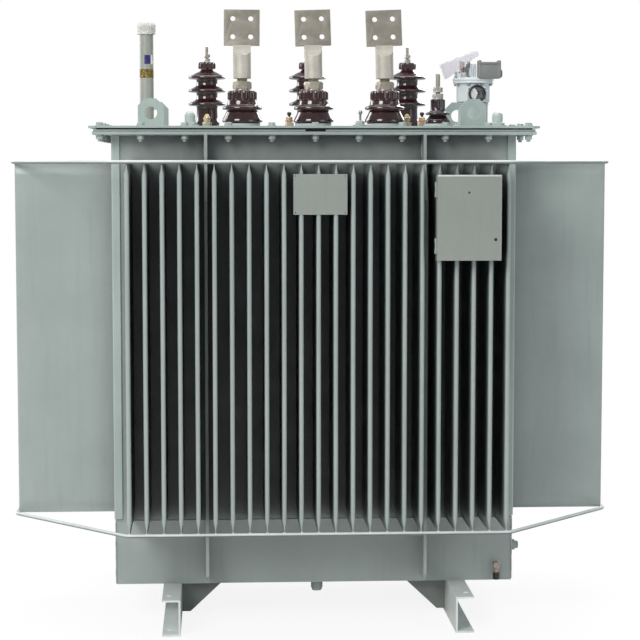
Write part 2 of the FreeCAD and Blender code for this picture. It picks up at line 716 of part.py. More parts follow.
def bushing_seals():
    """Flat rubber seals under each bushing and above the low-voltage sleeves' collars."""
    upper = (COVER_Z + BOSS_HEIGHT, BUSHING_Z)
    lower = (COVER_UNDER_Z - SEAL_THICK, COVER_UNDER_Z)
    seals = [tube(p, upper, LV_HOLE_R, 49.0) for p in LV_PLACES]
    seals += [tube(p, lower, LV_HOLE_R, 42.0) for p in LV_PLACES]
    seals += [tube(p, upper, 29.0, HV_BASE_R - 1) for p in HV_PLACES]
    seals.append(tube(NEUTRAL_PLACE, upper, 21.0, NEUTRAL_BASE_R - 1))
    return group(seals)


# ---------------------------------------------------------------- fittings on the cover
def filler_tube():
    """The filling and level tube, with its weld collar."""
    pipe = tube(FILLER_PLACE, (1310.0, FILLER_TOP_Z), FILLER_BORE_R, FILLER_R)
    collar = tube(FILLER_PLACE, (COVER_Z, COVER_Z + 6), FILLER_R - 1, FILLER_R + 6)
    return join([pipe, collar])


def filler_cap():
    """The ribbed screw cap of the filler tube."""
    roof = FILLER_TOP_Z + SEAL_THICK
    inner = FILLER_R + 0.1
    cap = turned(FILLER_PLACE, [
        (inner, FILLER_CAP_BOTTOM_Z), (FILLER_CAP_R - 1, FILLER_CAP_BOTTOM_Z),
        (FILLER_CAP_R, FILLER_CAP_BOTTOM_Z + 1), (FILLER_CAP_R, FILLER_CAP_TOP_Z - 6),
        (FILLER_CAP_R - 6, FILLER_CAP_TOP_Z), (0, FILLER_CAP_TOP_Z), (0, roof), (inner, roof)])
    return fluted(cap, FILLER_PLACE, (FILLER_CAP_BOTTOM_Z + 6, FILLER_CAP_TOP_Z + 1),
                  FILLER_CAP_R + 1.2, 24, 2.0)


def filler_cap_seal():
    """The flat ring between the tube's end and the cap's roof."""
    return tube(FILLER_PLACE, (FILLER_TOP_Z, FILLER_TOP_Z + SEAL_THICK), FILLER_BORE_R, FILLER_R)


def level_float():
    """Oil-level float with its indicator rod."""
    body = turned(FILLER_PLACE, [(0, 1316), (9, 1316), (14, 1322), (14, 1346), (9, 1352), (0, 1352)])
    stem = rod(FILLER_PLACE, (1350.0, FLOAT_STEM_TOP_Z), 1.5)
    tip = rod(FILLER_PLACE, (FLOAT_STEM_TOP_Z - 12, FLOAT_STEM_TOP_Z + 4), 5.0)
    return join([body, stem, tip])


def thermometer_pockets():
    """Closed tubes that hang in the oil, with a hexagon collar and a nipple above the cover."""
    solids = []
    for place in POCKET_PLACES:
        sleeve = rod(place, (1260.0, COVER_Z + 1), POCKET_SLEEVE_R)
        collar = rod(place, (COVER_Z, COVER_Z + 5), 25.0)
        hexagonal = nut(place, (COVER_Z + 5, COVER_Z + 12), 36.0, 0)
        nipple = rod(place, (COVER_Z + 11, COVER_Z + 30), 11.0)
        body = join([sleeve, collar, hexagonal, nipple])
        solids.append(body.cut(rod(place, (1263.0, COVER_Z + 40), 8.0)))
    return group(solids)


def pocket_caps():
    """Domed caps on the thermometer pockets."""
    caps = []
    base = COVER_Z + 12
    for place in POCKET_PLACES:
        dome = turned(place, [(0, base), (15, base), (15, base + 20), (13.5, base + 25),
                              (9, base + 29), (0, base + 30)])
        caps.append(dome.cut(rod(place, (base - 1, COVER_Z + 31), 11.0 + RUN_GAP)))
    return group(caps)


def vent_plugs():
    """Small brass bleed plugs with a hexagon foot and a turned collar."""
    solids = []
    for place in VENT_PLACES:
        foot = nut(place, (COVER_Z, COVER_Z + 9), 22.0, 0)
        core = turned(place, [(0, COVER_UNDER_Z - 6), (VENT_SHANK_R, COVER_UNDER_Z - 6),
                              (VENT_SHANK_R, COVER_Z + 4),
                              (8, COVER_Z + 4), (8, COVER_Z + 13), (9.5, COVER_Z + 14),
                              (9.5, COVER_Z + 20), (8, COVER_Z + 22), (0, COVER_Z + 22)])
        solids.append(join([foot, core]))
    return group(solids)


def vent_plug_knobs():
    """Turned tops of the bleed plugs: round knobs on two, low domes on the others."""
    solids = []
    base = COVER_Z + 22
    for i, place in enumerate(VENT_PLACES):
        if i in VENT_KNOB_INDEX:
            outline = [(0, base), (4, base), (4, base + 4), (6.5, base + 7), (6.5, base + 11),
                       (4, base + 14), (0, base + 14)]
        else:
            outline = [(0, base), (7, base), (7, base + 3), (4, base + 7), (0, base + 8)]
        solids.append(turned(place, outline))
    return group(solids)


def relief_valve_body():
    """Pressure-relief valve: a disc-shaped foot, a seat and a bonnet that guides the stem."""
    return turned(RELIEF_PLACE, [(8.5, COVER_UNDER_Z - 10), (8.5, COVER_Z), (22, COVER_Z),
                                 (22, COVER_Z + 6), (13, COVER_Z + 8), (12, COVER_Z + 16),
                                 (9, COVER_Z + 19), (3.55, COVER_Z + 19), (3.55, COVER_Z + 15),
                                 (9, COVER_Z + 15), (9, COVER_Z + 2), (5, COVER_Z + 2),
                                 (5, COVER_UNDER_Z - 10)])


def relief_valve_stem():
    """The relief valve's closing disc and stem, with a pull ball on top."""
    return turned(RELIEF_PLACE, [(0, COVER_Z + 2), (8, COVER_Z + 2), (8, COVER_Z + 6),
                                 (3.5, COVER_Z + 7), (3.5, COVER_Z + 38), (6, COVER_Z + 40),
                                 (6, COVER_Z + 46), (3, COVER_Z + 49), (0, COVER_Z + 49)])


def tap_changer_body():
    """The off-circuit tap switch's cover collar, guide tube and cup with fixed contact pins."""
    collar = tube(TAP_PLACE, (COVER_Z, COVER_Z + 12), 8.05, 30.0)
    guide = tube(TAP_PLACE, (1230.0, COVER_Z + 1), 8.05, TAP_GUIDE_R)
    cup = tube(TAP_PLACE, (1180.0, 1230.0), 38.0, 42.0)
    roof = tube(TAP_PLACE, (1226.0, 1232.0), 8.05, 42.0)
    pins = []
    for step in (-60, -30, 0, 30, 60, 120, 150, 180, 210, 240):
        angle = math.radians(step)
        spot = (TAP_PLACE[0] + 37.5 * math.cos(angle), TAP_PLACE[1] + 37.5 * math.sin(angle))
        pins.append(rod(spot, (1185.0, 1215.0), 2.0))
    return join([collar, guide, cup, roof] + pins)


def tap_changer_knob():
    """The switch's hand knob with pointer, on its shaft."""
    shaft = rod(TAP_PLACE, (1186.0, COVER_Z + 20), 8.0)
    hub = turned(TAP_PLACE, [(0, COVER_Z + 12.2), (27, COVER_Z + 12.2), (27, COVER_Z + 22),
                             (24, COVER_Z + 26), (0, COVER_Z + 26)])
    x, y = TAP_PLACE
    grip = block((x - 5, x + 5), (y - 25, y + 25), (COVER_Z + 25, COVER_Z + 42))
    return join([shaft, hub, grip])


def tap_changer_contacts():
    """The moving contact bridge clamped on the switch shaft."""
    ring = tube(TAP_PLACE, (1190.0, 1206.0), 8.0, 14.0)
    x, y = TAP_PLACE
    bridge = block((x - 34, x + 34), (y - 5, y + 5), (1192.0, 1204.0))
    bridge = bridge.cut(rod(TAP_PLACE, (1185.0, 1210.0), 8.0))
    return join([ring, bridge])


# ---------------------------------------------------------------- gas relay
def relay_body():
    """Riser pipe, cast float chamber with a window boss, hollow inside."""
    low, high = RELAY_BODY_Z
    x, y = RELAY_PLACE
    chamber = turned(RELAY_PLACE, [
        (0, COVER_Z), (58, COVER_Z), (58, COVER_Z + 8), (RELAY_PIPE_R, COVER_Z + 10),
        (RELAY_PIPE_R, low - 6), (RELAY_BODY_R, low), (RELAY_BODY_R, high), (0, high)])
    centre = Vector(x + WINDOW_SHIFT, y, WINDOW_Z)
    boss = Part.makeCylinder(WINDOW_BOSS_R, RELAY_BODY_R + 1, centre, -Y_AXIS)
    boss = boss.common(rod(RELAY_PLACE, (low - 6, high), RELAY_HEAD_R))
    body = join([chamber, boss])
    inside = rod(RELAY_PLACE, (COVER_Z - 1, low + 4), RELAY_MOUTH_R).fuse(
        rod(RELAY_PLACE, (low + 3, high + 1), RELAY_PIPE_R))
    sight = Part.makeCylinder(WINDOW_SIGHT_R, 80.0, centre, -Y_AXIS)
    return body.cut([inside, sight])


def relay_head():
    """The relay's top flange with its posts, the box's milled seat and the hood's hinge pin."""
    x, y = RELAY_PLACE
    top = RELAY_HEAD_TOP_Z
    flange = rod(RELAY_PLACE, (RELAY_BODY_Z[1], top), RELAY_HEAD_R)
    seat = block((x + RELAY_BOX_X[0] - 0.5, x + RELAY_HEAD_R + 1),
                 (y - RELAY_HEAD_R - 1, y + RELAY_BOX_Y[1] + 0.5), (top - RELAY_SEAT_DEPTH, top + 1))
    posts = [rod((x - 34, y - 6), (top - 1, top + 48), 7.0),
             rod((x - 34, y - 6), (top - 1, top + 16), 14.0),
             rod((x - 8, y - 2), (top - 1, top + 43), 6.0),
             rod((x - 8, y - 2), (top - 1, top + 6), 12.0),
             rod((x + 5, y + 6), (top - 1, top + 43), 5.0)]
    hinge_x, hinge_z = x + HOOD_HINGE[0], HOOD_HINGE[1]
    arms = [block((hinge_x - 5, hinge_x + 5), sorted((y + side * 31, y + side * 36)), (top - 8, hinge_z + 5))
            for side in (-1, 1)]
    pin = Part.makeCylinder(2.0, 70.0, Vector(hinge_x, y - 35, hinge_z), Y_AXIS)
    return join([flange.cut(seat), pin] + posts + arms)


def relay_window():
    """The round sight glass with its screwed bezel."""
    x, y = RELAY_PLACE
    centre = Vector(x + WINDOW_SHIFT, y - RELAY_BODY_R - 1, WINDOW_Z)
    glass_r = WINDOW_R - 2.5
    glass = Part.makeCylinder(glass_r, 4.0, centre, -Y_AXIS)
    bezel = Part.makeCylinder(WINDOW_R, 7.0, centre, -Y_AXIS)
    bezel = bezel.cut(Part.makeCylinder(glass_r, 4.0, centre, -Y_AXIS))
    bezel = bezel.cut(Part.makeCylinder(WINDOW_SIGHT_R, 9.0, centre, -Y_AXIS))
    return group([glass, bezel])


def relay_float():
    """The hinged gas float behind the window."""
    x, y = RELAY_PLACE
    pin = Part.makeCylinder(2.0, 24.0, Vector(x - 12, y + 26, 1494.0), X_AXIS)
    arm = block((x - 3, x + 3), (y - 6, y + 26), (1492.0, 1496.0))
    ball = Part.makeSphere(14.0, Vector(x, y - 14, 1492.0))
    return join([pin, arm, ball])


def relay_terminal_box():
    """The relay's wiring box, set in the head's recess, with its lid screws and side gland."""
    x, y = RELAY_PLACE
    near, far = x + RELAY_BOX_X[0], x + RELAY_BOX_X[1]
    front, back = y + RELAY_BOX_Y[0], y + RELAY_BOX_Y[1]
    low = RELAY_HEAD_TOP_Z - RELAY_SEAT_DEPTH
    top = RELAY_BOX_TOP_Z
    case = block((near, far), (front + 1, back - 1), (low, top - 6))
    lid = block((near - 1, far + 1), (front, back), (top - 7, top))
    gland = Part.makeCylinder(11.5, 7.0, Vector(far - 1, (front + back) / 2, low + 15), X_AXIS)
    screws = [rod((sx, sy), (top - 1, top + 5), 4.0)
              for sx in (near + 4, far - 4) for sy in (front + 4.5, back - 4.5)]
    return join([case, lid, gland] + screws)


def relay_hood():
    """The clear hood over the relay's posts, swung partly open on its hinge pin."""
    x, y = RELAY_PLACE
    outer = [(-39.8, -4.5), (-20, -4.5), (74.2, 26.2), (74.2, 40.9), (-39.8, 40.9)]
    inner = [(-37.8, -5.5), (-19.6, -5.5), (72.2, 24.4), (72.2, 38.9), (-37.8, 38.9)]
    hood = prism(outer, "xz", -30, 30).cut(prism(inner, "xz", -28, 28))
    hood = hood.cut(Part.makeCylinder(2.05, 80.0, Vector(0, -40, 0), Y_AXIS))
    hood.rotate(Vector(0, 0, 0), Y_AXIS, -HOOD_ANGLE)
    hood.translate(Vector(x + HOOD_HINGE[0], y, HOOD_HINGE[1]))
    return hood


# ---------------------------------------------------------------- plates, boxes and wall fittings
def nameplate_carrier():
    """The blank carrier plate on the fin tips, with a rivet hole in each corner."""
    x, z = PLATE_CENTRE
    half_x = PLATE_SIZE[0] / 2
    half_z = PLATE_SIZE[1] / 2
    back = FIN_TIP_Y - RUN_GAP
    plate = block((x - half_x, x + half_x), (back - 2, back), (z - half_z, z + half_z))
    holes = [Part.makeCylinder(1.8, 6, Vector(x + sx * (half_x - 5), back - 4, z + sz * (half_z - 5)),
                               Y_AXIS) for sx in (-1, 1) for sz in (-1, 1)]
    return plate.cut(holes)


def hinge_place():
    """The (x, y) place of the terminal box's hinge axis."""
    return (BOX_CENTRE[0] - BOX_SIZE[0] / 2 - 4.0, DOOR_BACK_Y - DOOR_THICK / 2)


def terminal_box():
    """The shallow wiring box on the front fins, open in front, with its half of the hinges."""
    x, z = BOX_CENTRE
    half_x = BOX_SIZE[0] / 2
    half_z = BOX_SIZE[1] / 2
    back = FIN_TIP_Y - RUN_GAP
    front = DOOR_BACK_Y + DOOR_GAP
    s = BOX_SHEET
    shell = block((x - half_x, x + half_x), (front, back), (z - half_z, z + half_z))
    inside = block((x - half_x + s, x + half_x - s), (front - 1, back - s),
                   (z - half_z + s, z + half_z - s))
    pieces = [shell.cut(inside)]
    pieces.append(block((x - 60, x + 60), (back - s - 7.5, back - s), (z - 18, z + 18)))
    pieces.append(block((x + half_x - 7.5, x + half_x - s), (front, front + s), (z - half_z + s, z + half_z - s)))
    hinge = hinge_place()
    for rise in HINGE_RISE:
        for low in (z + rise - 20, z + rise + 8.2):
            knuckle = (low, low + 11.8)
            pieces.append(rod(hinge, knuckle, KNUCKLE_R))
            pieces.append(block((hinge[0] - KNUCKLE_R, x - half_x), (hinge[1], front + 12), knuckle))
        pieces.append(rod(hinge, (z + rise - 10, z + rise + 10), HINGE_PIN_R))
    glands = [rod((x + dx, back - 20), (z - half_z - 1, z - half_z + s + 1), 10.0) for dx in (-45, 0, 45)]
    return join(pieces).cut(glands)


def terminal_box_door():
    """The door panel with its half of the hinges and a hole for the latch."""
    x, z = BOX_CENTRE
    half_x = BOX_SIZE[0] / 2
    half_z = BOX_SIZE[1] / 2
    front = DOOR_BACK_Y - DOOR_THICK
    pieces = [block((x - half_x, x + half_x), (front, DOOR_BACK_Y), (z - half_z, z + half_z))]
    hinge = hinge_place()
    for rise in HINGE_RISE:
        knuckle = (z + rise - 8, z + rise + 8)
        pieces.append(rod(hinge, knuckle, KNUCKLE_R))
        pieces.append(block((hinge[0], x - half_x + 1), (front, DOOR_BACK_Y), knuckle))
    door = join(pieces)
    cuts = [rod(hinge, (z + rise - 12, z + rise + 12), HINGE_PIN_R + RUN_GAP) for rise in HINGE_RISE]
    latch = Vector(x + half_x - LATCH_INSET[0], front - 2, z - LATCH_INSET[1])
    cuts.append(Part.makeCylinder(LATCH_R + RUN_GAP, 6, latch, Y_AXIS))
    return door.cut(cuts)


def door_latch():
    """The small key-turned latch with its tongue inside the box."""
    x = BOX_CENTRE[0] + BOX_SIZE[0] / 2 - LATCH_INSET[0]
    z = BOX_CENTRE[1] - LATCH_INSET[1]
    front = DOOR_BACK_Y - DOOR_THICK
    barrel = Part.makeCylinder(LATCH_R, 9.0, Vector(x, front - 0.5, z), Y_AXIS)
    collar = Part.makeCylinder(LATCH_R + 1, 0.9, Vector(x, front - 1.0, z), Y_AXIS)
    key_slot = block((x - 2.2, x + 2.2), (front - 2, front - 0.4), (z - 0.6, z + 0.6))
    tongue = block((x - 4, x + 4), (DOOR_BACK_Y + 2.5, DOOR_BACK_Y + 4.5), (z - 11, z + 5))
    return join([barrel, collar, tongue]).cut(key_slot)


def sampling_valve_body():
    """Brass oil-sampling valve on the front of the tank base, with its spout downwards."""
    x, z = VALVE_PLACE
    wall = -TANK_Y - RUN_GAP
    tail = Part.makeCylinder(TAPPED_HOLE_R - 0.1, 14.0, Vector(x, wall + 8, z), -Y_AXIS)
    flange = Part.makeCylinder(13.0, 5.0, Vector(x, wall, z), -Y_AXIS)
    stem = Part.makeCylinder(8.0, 24.0, Vector(x, wall - 4, z), -Y_AXIS)
    spout = rod((x, wall - 18), (z - 30, z), 6.0)
    collar = Part.makeCylinder(9.5, 6.0, Vector(x, wall - 22, z), -Y_AXIS)
    return join([tail, flange, stem, spout, collar])


def sampling_valve_cap():
    """The black screw cap on the sampling valve's spout."""
    x, z = VALVE_PLACE
    place = (x, -TANK_Y - RUN_GAP - 18)
    return turned(place, [(0, z - 42), (8, z - 42), (9.5, z - 40), (9.5, z - 23), (8, z - 21.5),
                          (6.08, z - 21.5), (6.08, z - 30.5), (0, z - 30.5)])


def wall_plugs():
    """The drain plug under the floor and the earthing bolt on the right end."""
    drain = join([rod(DRAIN_PLACE, (FLOOR_Z - 28, FLOOR_Z - RUN_GAP), 16.5),
                  nut(DRAIN_PLACE, (FLOOR_Z - 34, FLOOR_Z - 27), 24.0, 0),
                  rod(DRAIN_PLACE, (FLOOR_Z - 6, FLOOR_Z + BASE_SHEET), 7.9)])
    y, z = EARTH_PLACE
    face = TANK_X + RUN_GAP
    disc = Part.makeCylinder(15.0, 16.0, Vector(face, y, z), X_AXIS)
    head = nut((0, 0), (0, 10), 19.5, 0)
    head.rotate(Vector(0, 0, 0), Y_AXIS, 90)
    head.translate(Vector(face + 15, y, z))
    shank = Part.makeCylinder(TAPPED_HOLE_R - 0.1, 14.0, Vector(face - 6, y, z), X_AXIS)
    return group([drain, join([disc, head, shank])])


# ---------------------------------------------------------------- active part
def transformer_core():
    """Three-limb stacked core."""
    half = LIMB_PITCH + YOKE_HEIGHT / 2
    top = CORE_BOTTOM_Z + 2 * YOKE_HEIGHT + WINDOW_HEIGHT
    yokes = [block((-half, half), (-YOKE_DEPTH / 2, YOKE_DEPTH / 2), (z, z + YOKE_HEIGHT))
             for z in (CORE_BOTTOM_Z, top - YOKE_HEIGHT)]
    limbs = [rod((x, 0), (CORE_BOTTOM_Z + 10, top - 10), LIMB_R) for x in (-LIMB_PITCH, 0, LIMB_PITCH)]
    return join(yokes + limbs)


def core_clamps():
    """Steel channels that press the yokes, the bottom pair standing on the tank floor."""
    solids = []
    half = LIMB_PITCH + YOKE_HEIGHT / 2 + 10
    top = CORE_BOTTOM_Z + YOKE_HEIGHT + WINDOW_HEIGHT
    for side in (-1, 1):
        near = side * (LIMB_R + 1)
        far = side * (LIMB_R + 13)
        y = sorted((near, far))
        solids.append(block((-half, half), y, (FLOOR_Z + BASE_SHEET, CORE_BOTTOM_Z + 120)))
        solids.append(block((-half, half), y, (top + 40, top + YOKE_HEIGHT)))
    return group(solids)


def coil_heights(height):
    """The bottom and top of a coil centred in the core's window."""
    middle = CORE_BOTTOM_Z + YOKE_HEIGHT + WINDOW_HEIGHT / 2
    return (middle - height / 2, middle + height / 2)


def coils(radii, height):
    """One ring-shaped coil on each limb."""
    z = coil_heights(height)
    return group([tube((x, 0), z, radii[0], radii[1]) for x in (-LIMB_PITCH, 0, LIMB_PITCH)])


def internal_leads():
    """Bars from the low-voltage coils to their studs, and round leads to the other studs."""
    solids = []
    limbs = (-LIMB_PITCH, 0, LIMB_PITCH)
    top = coil_heights(LV_COIL_HEIGHT)[1]
    half, thick = LV_BAR[0] / 2, LV_BAR[1]
    for limb, (x, y) in zip(limbs, LV_PLACES):
        near, far = y - thick / 2, y + thick / 2
        flat = prism([(limb - half, -LV_COIL[0] - 3), (limb + half, -LV_COIL[0] - 3),
                      (limb + half, -LV_COIL[1]), (x + half, far), (x + half, near),
                      (x - half, near), (x - half, far), (limb - half, -LV_COIL[1])],
                     "xy", top + RUN_GAP, top + RUN_GAP + thick)
        upright = block((x - half, x + half), (near, far), (top + RUN_GAP, INNER_STUD_Z))
        solids.append(join([flat, upright]))
    z = coil_heights(HV_COIL_HEIGHT)[1] - 20
    for limb, place in zip(limbs, HV_PLACES):
        bend = Vector(place[0], place[1], z)
        reach = bend - Vector(limb, 0, z)
        length = reach.Length - HV_COIL[1] - 0.1
        solids.append(join([rod(place, (z, 1234.5), HV_LEAD_R), Part.makeSphere(HV_LEAD_R, bend),
                            Part.makeCylinder(HV_LEAD_R, length, bend, reach * -1)]))
    x, y = NEUTRAL_PLACE
    bend = Vector(x, y, top - NEUTRAL_STUD_R - RUN_GAP)
    length = -y - LV_COIL[1] - 0.2
    solids.append(join([rod(NEUTRAL_PLACE, (bend.z, 1299.5), NEUTRAL_STUD_R),
                        Part.makeSphere(NEUTRAL_STUD_R, bend),
                        Part.makeCylinder(NEUTRAL_STUD_R, length, bend, Y_AXIS)]))
    return group(solids)


# ---------------------------------------------------------------- write every node
def main():
    os.makedirs("parts", exist_ok=True)
    for side in ("front", "back", "left", "right"):
        save("tank_wall_" + side, tank_wall(side))
    save("lv_windings", coils(LV_COIL, LV_COIL_HEIGHT))
    save("hv_windings", coils(HV_COIL, HV_COIL_HEIGHT))
    builders = [
        skid_rails, skid_gussets, tank_base, fin_tie_rods, tank_stiffeners, corner_posts,
        tank_flange, cover_gasket, gasket_stop_bars, cover_plate, cover_bolts, cover_nuts,
        cover_washers, lifting_lugs, lv_porcelains, lv_studs, lv_nuts, lv_terminals,
        hv_porcelains, hv_studs, neutral_porcelain, neutral_stud, stud_nuts,
        bushing_bosses, bushing_seals, filler_tube, filler_cap, filler_cap_seal,
        level_float, thermometer_pockets, pocket_caps, vent_plugs, vent_plug_knobs,
        relief_valve_body, relief_valve_stem, tap_changer_body, tap_changer_knob,
        tap_changer_contacts, relay_body, relay_head, relay_window, relay_float,
        relay_terminal_box, relay_hood, nameplate_carrier, terminal_box, terminal_box_door,
        door_latch, sampling_valve_body, sampling_valve_cap, wall_plugs,
        transformer_core, core_clamps, internal_leads,
    ]
    for build in builders:
        save(build.__name__, build())


main()
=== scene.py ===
"""Visual model of an oil-immersed distribution transformer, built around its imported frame.

Everything is in metres, in the frame's own axes: +Z up, low-voltage side facing -Y.
"""

import json
import math
import random

import bmesh
import bpy
from mathutils import Matrix, Vector, noise

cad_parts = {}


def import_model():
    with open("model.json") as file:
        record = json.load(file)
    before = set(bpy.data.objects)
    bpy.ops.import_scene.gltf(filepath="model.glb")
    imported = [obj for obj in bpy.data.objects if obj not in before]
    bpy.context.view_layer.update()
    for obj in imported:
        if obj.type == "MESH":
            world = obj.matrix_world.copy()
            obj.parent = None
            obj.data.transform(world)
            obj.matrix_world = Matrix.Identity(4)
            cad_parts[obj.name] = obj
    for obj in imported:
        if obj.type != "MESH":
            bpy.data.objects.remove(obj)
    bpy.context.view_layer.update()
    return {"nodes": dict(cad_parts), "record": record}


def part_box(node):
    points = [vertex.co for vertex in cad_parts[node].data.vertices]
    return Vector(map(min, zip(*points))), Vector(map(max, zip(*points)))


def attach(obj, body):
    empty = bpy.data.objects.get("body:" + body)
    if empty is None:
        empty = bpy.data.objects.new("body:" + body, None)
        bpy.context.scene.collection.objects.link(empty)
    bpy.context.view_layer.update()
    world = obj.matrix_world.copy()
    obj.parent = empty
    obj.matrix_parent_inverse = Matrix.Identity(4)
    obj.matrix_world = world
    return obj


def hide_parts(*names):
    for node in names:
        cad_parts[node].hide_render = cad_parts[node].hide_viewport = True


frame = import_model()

noise.seed_set(20)      # noise_vector is otherwise seeded from the clock

MM = 0.001
TAU = 2 * math.pi
UP = Vector((0, 0, 1))
# The corners of a box in plan: sign in x, sign in y, and the quarter turn that its rounding starts at
CORNERS = ((1, 1, 0), (-1, 1, 1), (-1, -1, 2), (1, -1, 3))

# Sizes shared with the frame, in millimetres
FIN_PITCH = 46.5
FIN_THICK = 12.5
FIN_SEAM_THICK = 3.0
WALL_SHEET = 3.0
LONG_FIN_COUNT = 23
END_FIN_COUNT = 6
TIE_ROD_R = 5.0
TIE_ROD_BEND = 25.0
TIE_ROD_PAST_FIN = 8.0
BOLT_R = 6.0
BOLT_FLATS = 18.0
LV_STUD_R = 15.0
HV_STUD_R = 5.0
NEUTRAL_STUD_R = 7.0
PALM_SIDE = 100.0
PALM_THICK = 10.0
PALM_HOLE_R = 7.0
PALM_HOLE_GAUGE = 50.0
BARREL_R = 25.0
FILLER_R = 20.0
POCKET_CAP_BORE = 11.05

# Heights above the floor, in millimetres
LV_CAP_FOOT = 1456.0
LV_CAP_TOP = 1483.0
LV_STUD_TOP = 1586.0
HV_SHEDS = (1460.0, 1500.0, 1539.0)
HV_CAP_TOP = 1581.0
HV_STUD_TOP = 1625.0
NEUTRAL_TOP = 1461.0
NEUTRAL_STUD_TOP = 1530.0


# ---------------------------------------------------------------- reading the frame
def low_high(node):
    """The lowest and highest corner of a node, as vectors."""
    low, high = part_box(node)
    return Vector(low), Vector(high)


def islands(node):
    """(low, high) corners of every separate solid in a node, sorted by x and then y."""
    mesh = frame["nodes"][node].data
    keys = {}
    owner = []
    for vertex in mesh.vertices:
        key = tuple(round(c, 6) for c in vertex.co)
        owner.append(keys.setdefault(key, len(keys)))
    parent = list(range(len(keys)))

    def root(i):
        while parent[i] != i:
            parent[i] = parent[parent[i]]
            i = parent[i]
        return i

    for edge in mesh.edges:
        a, b = (root(owner[v]) for v in edge.vertices)
        parent[a] = b
    boxes = {}
    for key, i in keys.items():
        low, high = boxes.setdefault(root(i), (list(key), list(key)))
        for axis in range(3):
            low[axis] = min(low[axis], key[axis])
            high[axis] = max(high[axis], key[axis])
    found = [(Vector(low), Vector(high)) for low, high in boxes.values()]
    return sorted(found, key=lambda b: (round(b[0].x + b[1].x, 4), round(b[0].y + b[1].y, 4), b[0].z))


def middle(box):
    """The centre of a (low, high) box."""
    return (box[0] + box[1]) / 2


def mounts(start):
    """Mount positions whose name starts with a word, in name order."""
    found = [m for m in frame["record"]["mounts"] if m["name"].startswith(start)]
    return [Vector(m["pos_m"]) for m in sorted(found, key=lambda m: m["name"])]


def joint_place(name):
    """Where a joint's axis is, from the record."""
    found = [j for j in frame["record"]["behaviour"]["joints"] if j["name"] == name]
    return Vector(found[0]["pos_m"])


def below(spot):
    """The point on the floor under a point, or under the centre of a (low, high) box."""
    centre = middle(spot) if isinstance(spot, tuple) else spot
    return Vector((centre.x, centre.y, 0))


def cover_top():
    """The height of the cover's upper face, in mm."""
    return low_high("cover_plate")[1].z / MM


def porcelain_foot():
    """The height in mm at which the porcelains stand on their seals."""
    return max(b[1].z for b in islands("bushing_bosses")) / MM + 3.0


# ---------------------------------------------------------------- materials
class Look:
    """A procedural material under construction."""

    def __init__(self, name, rough=0.5, metallic=0.0):
        self.material = bpy.data.materials.new(name)
        self.material.use_nodes = True
        self.tree = self.material.node_tree
        self.tree.nodes.clear()
        self.shader = self.node("ShaderNodeBsdfPrincipled")
        out = self.node("ShaderNodeOutputMaterial")
        self.link(self.shader.outputs[0], out.inputs[0])
        self.set("Roughness", rough)
        self.set("Metallic", metallic)
        self.place = self.node("ShaderNodeTexCoord").outputs["Object"]

    def node(self, kind, **values):
        made = self.tree.nodes.new(kind)
        for key, value in values.items():
            setattr(made, key, value)
        return made

    def link(self, source, target):
        self.tree.links.new(source, target)

    def set(self, name, value):
        target = self.shader.inputs[name]
        if isinstance(value, bpy.types.NodeSocket):
            self.link(value, target)
        else:
            target.default_value = value

    def noise(self, scale, detail=3.0, rough=0.5, stretch=None):
        made = self.node("ShaderNodeTexNoise")
        made.inputs["Scale"].default_value = scale
        made.inputs["Detail"].default_value = detail
        made.inputs["Roughness"].default_value = rough
        place = self.place
        if stretch:
            mapping = self.node("ShaderNodeMapping")
            mapping.inputs["Scale"].default_value = stretch
            self.link(place, mapping.inputs["Vector"])
            place = mapping.outputs[0]
        self.link(place, made.inputs["Vector"])
        return made.outputs["Fac"]

    def ramp(self, source, low, high, to_low=0.0, to_high=1.0):
        made = self.node("ShaderNodeMapRange")
        self.link(source, made.inputs["Value"])
        for name, value in (("From Min", low), ("From Max", high), ("To Min", to_low), ("To Max", to_high)):
            made.inputs[name].default_value = value
        return made.outputs[0]

    def mix(self, factor, first, second):
        made = self.node("ShaderNodeMix", data_type="RGBA")
        for name, value in ((0, factor), (6, first), (7, second)):
            if isinstance(value, bpy.types.NodeSocket):
                self.link(value, made.inputs[name])
            elif name == 0:
                made.inputs[0].default_value = value
            else:
                made.inputs[name].default_value = (*value[:3], 1.0)
        return made.outputs[2]

    def maths(self, operation, first, second=0.0):
        made = self.node("ShaderNodeMath", operation=operation)
        for i, value in enumerate((first, second)):
            if isinstance(value, bpy.types.NodeSocket):
                self.link(value, made.inputs[i])
            else:
                made.inputs[i].default_value = value
        return made.outputs[0]

    def edges(self, radius):
        """Near 1 on sharp edges, 0 on flat faces."""
        rounded = self.node("ShaderNodeBevel", samples=4)
        rounded.inputs["Radius"].default_value = radius
        flat = self.node("ShaderNodeNewGeometry")
        dot = self.node("ShaderNodeVectorMath", operation="DOT_PRODUCT")
        self.link(rounded.outputs[0], dot.inputs[0])
        self.link(flat.outputs["Normal"], dot.inputs[1])
        return self.ramp(dot.outputs["Value"], 0.995, 0.85)

    def edge_wear_and_sheen(self, radius, amount):
        """A share of edge colour on sharp edges: wear, and on the glaze also a painted highlight."""
        return self.maths("MULTIPLY", self.edges(radius), amount)

    def gloss(self, scale, detail, low, high, rough=0.5):
        """Roughness that drifts between two values."""
        self.set("Roughness", self.ramp(self.noise(scale, detail, rough), 0.3, 0.7, low, high))

    def hollow(self, distance):
        """1 in the open, 0 in deep gaps."""
        made = self.node("ShaderNodeAmbientOcclusion", samples=6)
        made.inputs["Distance"].default_value = distance
        return made.outputs["AO"]

    def height(self):
        """The height above the floor, in metres."""
        split = self.node("ShaderNodeSeparateXYZ")
        self.link(self.place, split.inputs[0])
        return split.outputs["Z"]

    def bump(self, height, strength, distance):
        made = self.node("ShaderNodeBump")
        made.inputs["Strength"].default_value = strength
        made.inputs["Distance"].default_value = distance
        self.link(height, made.inputs["Height"])
        self.set("Normal", made.outputs[0])


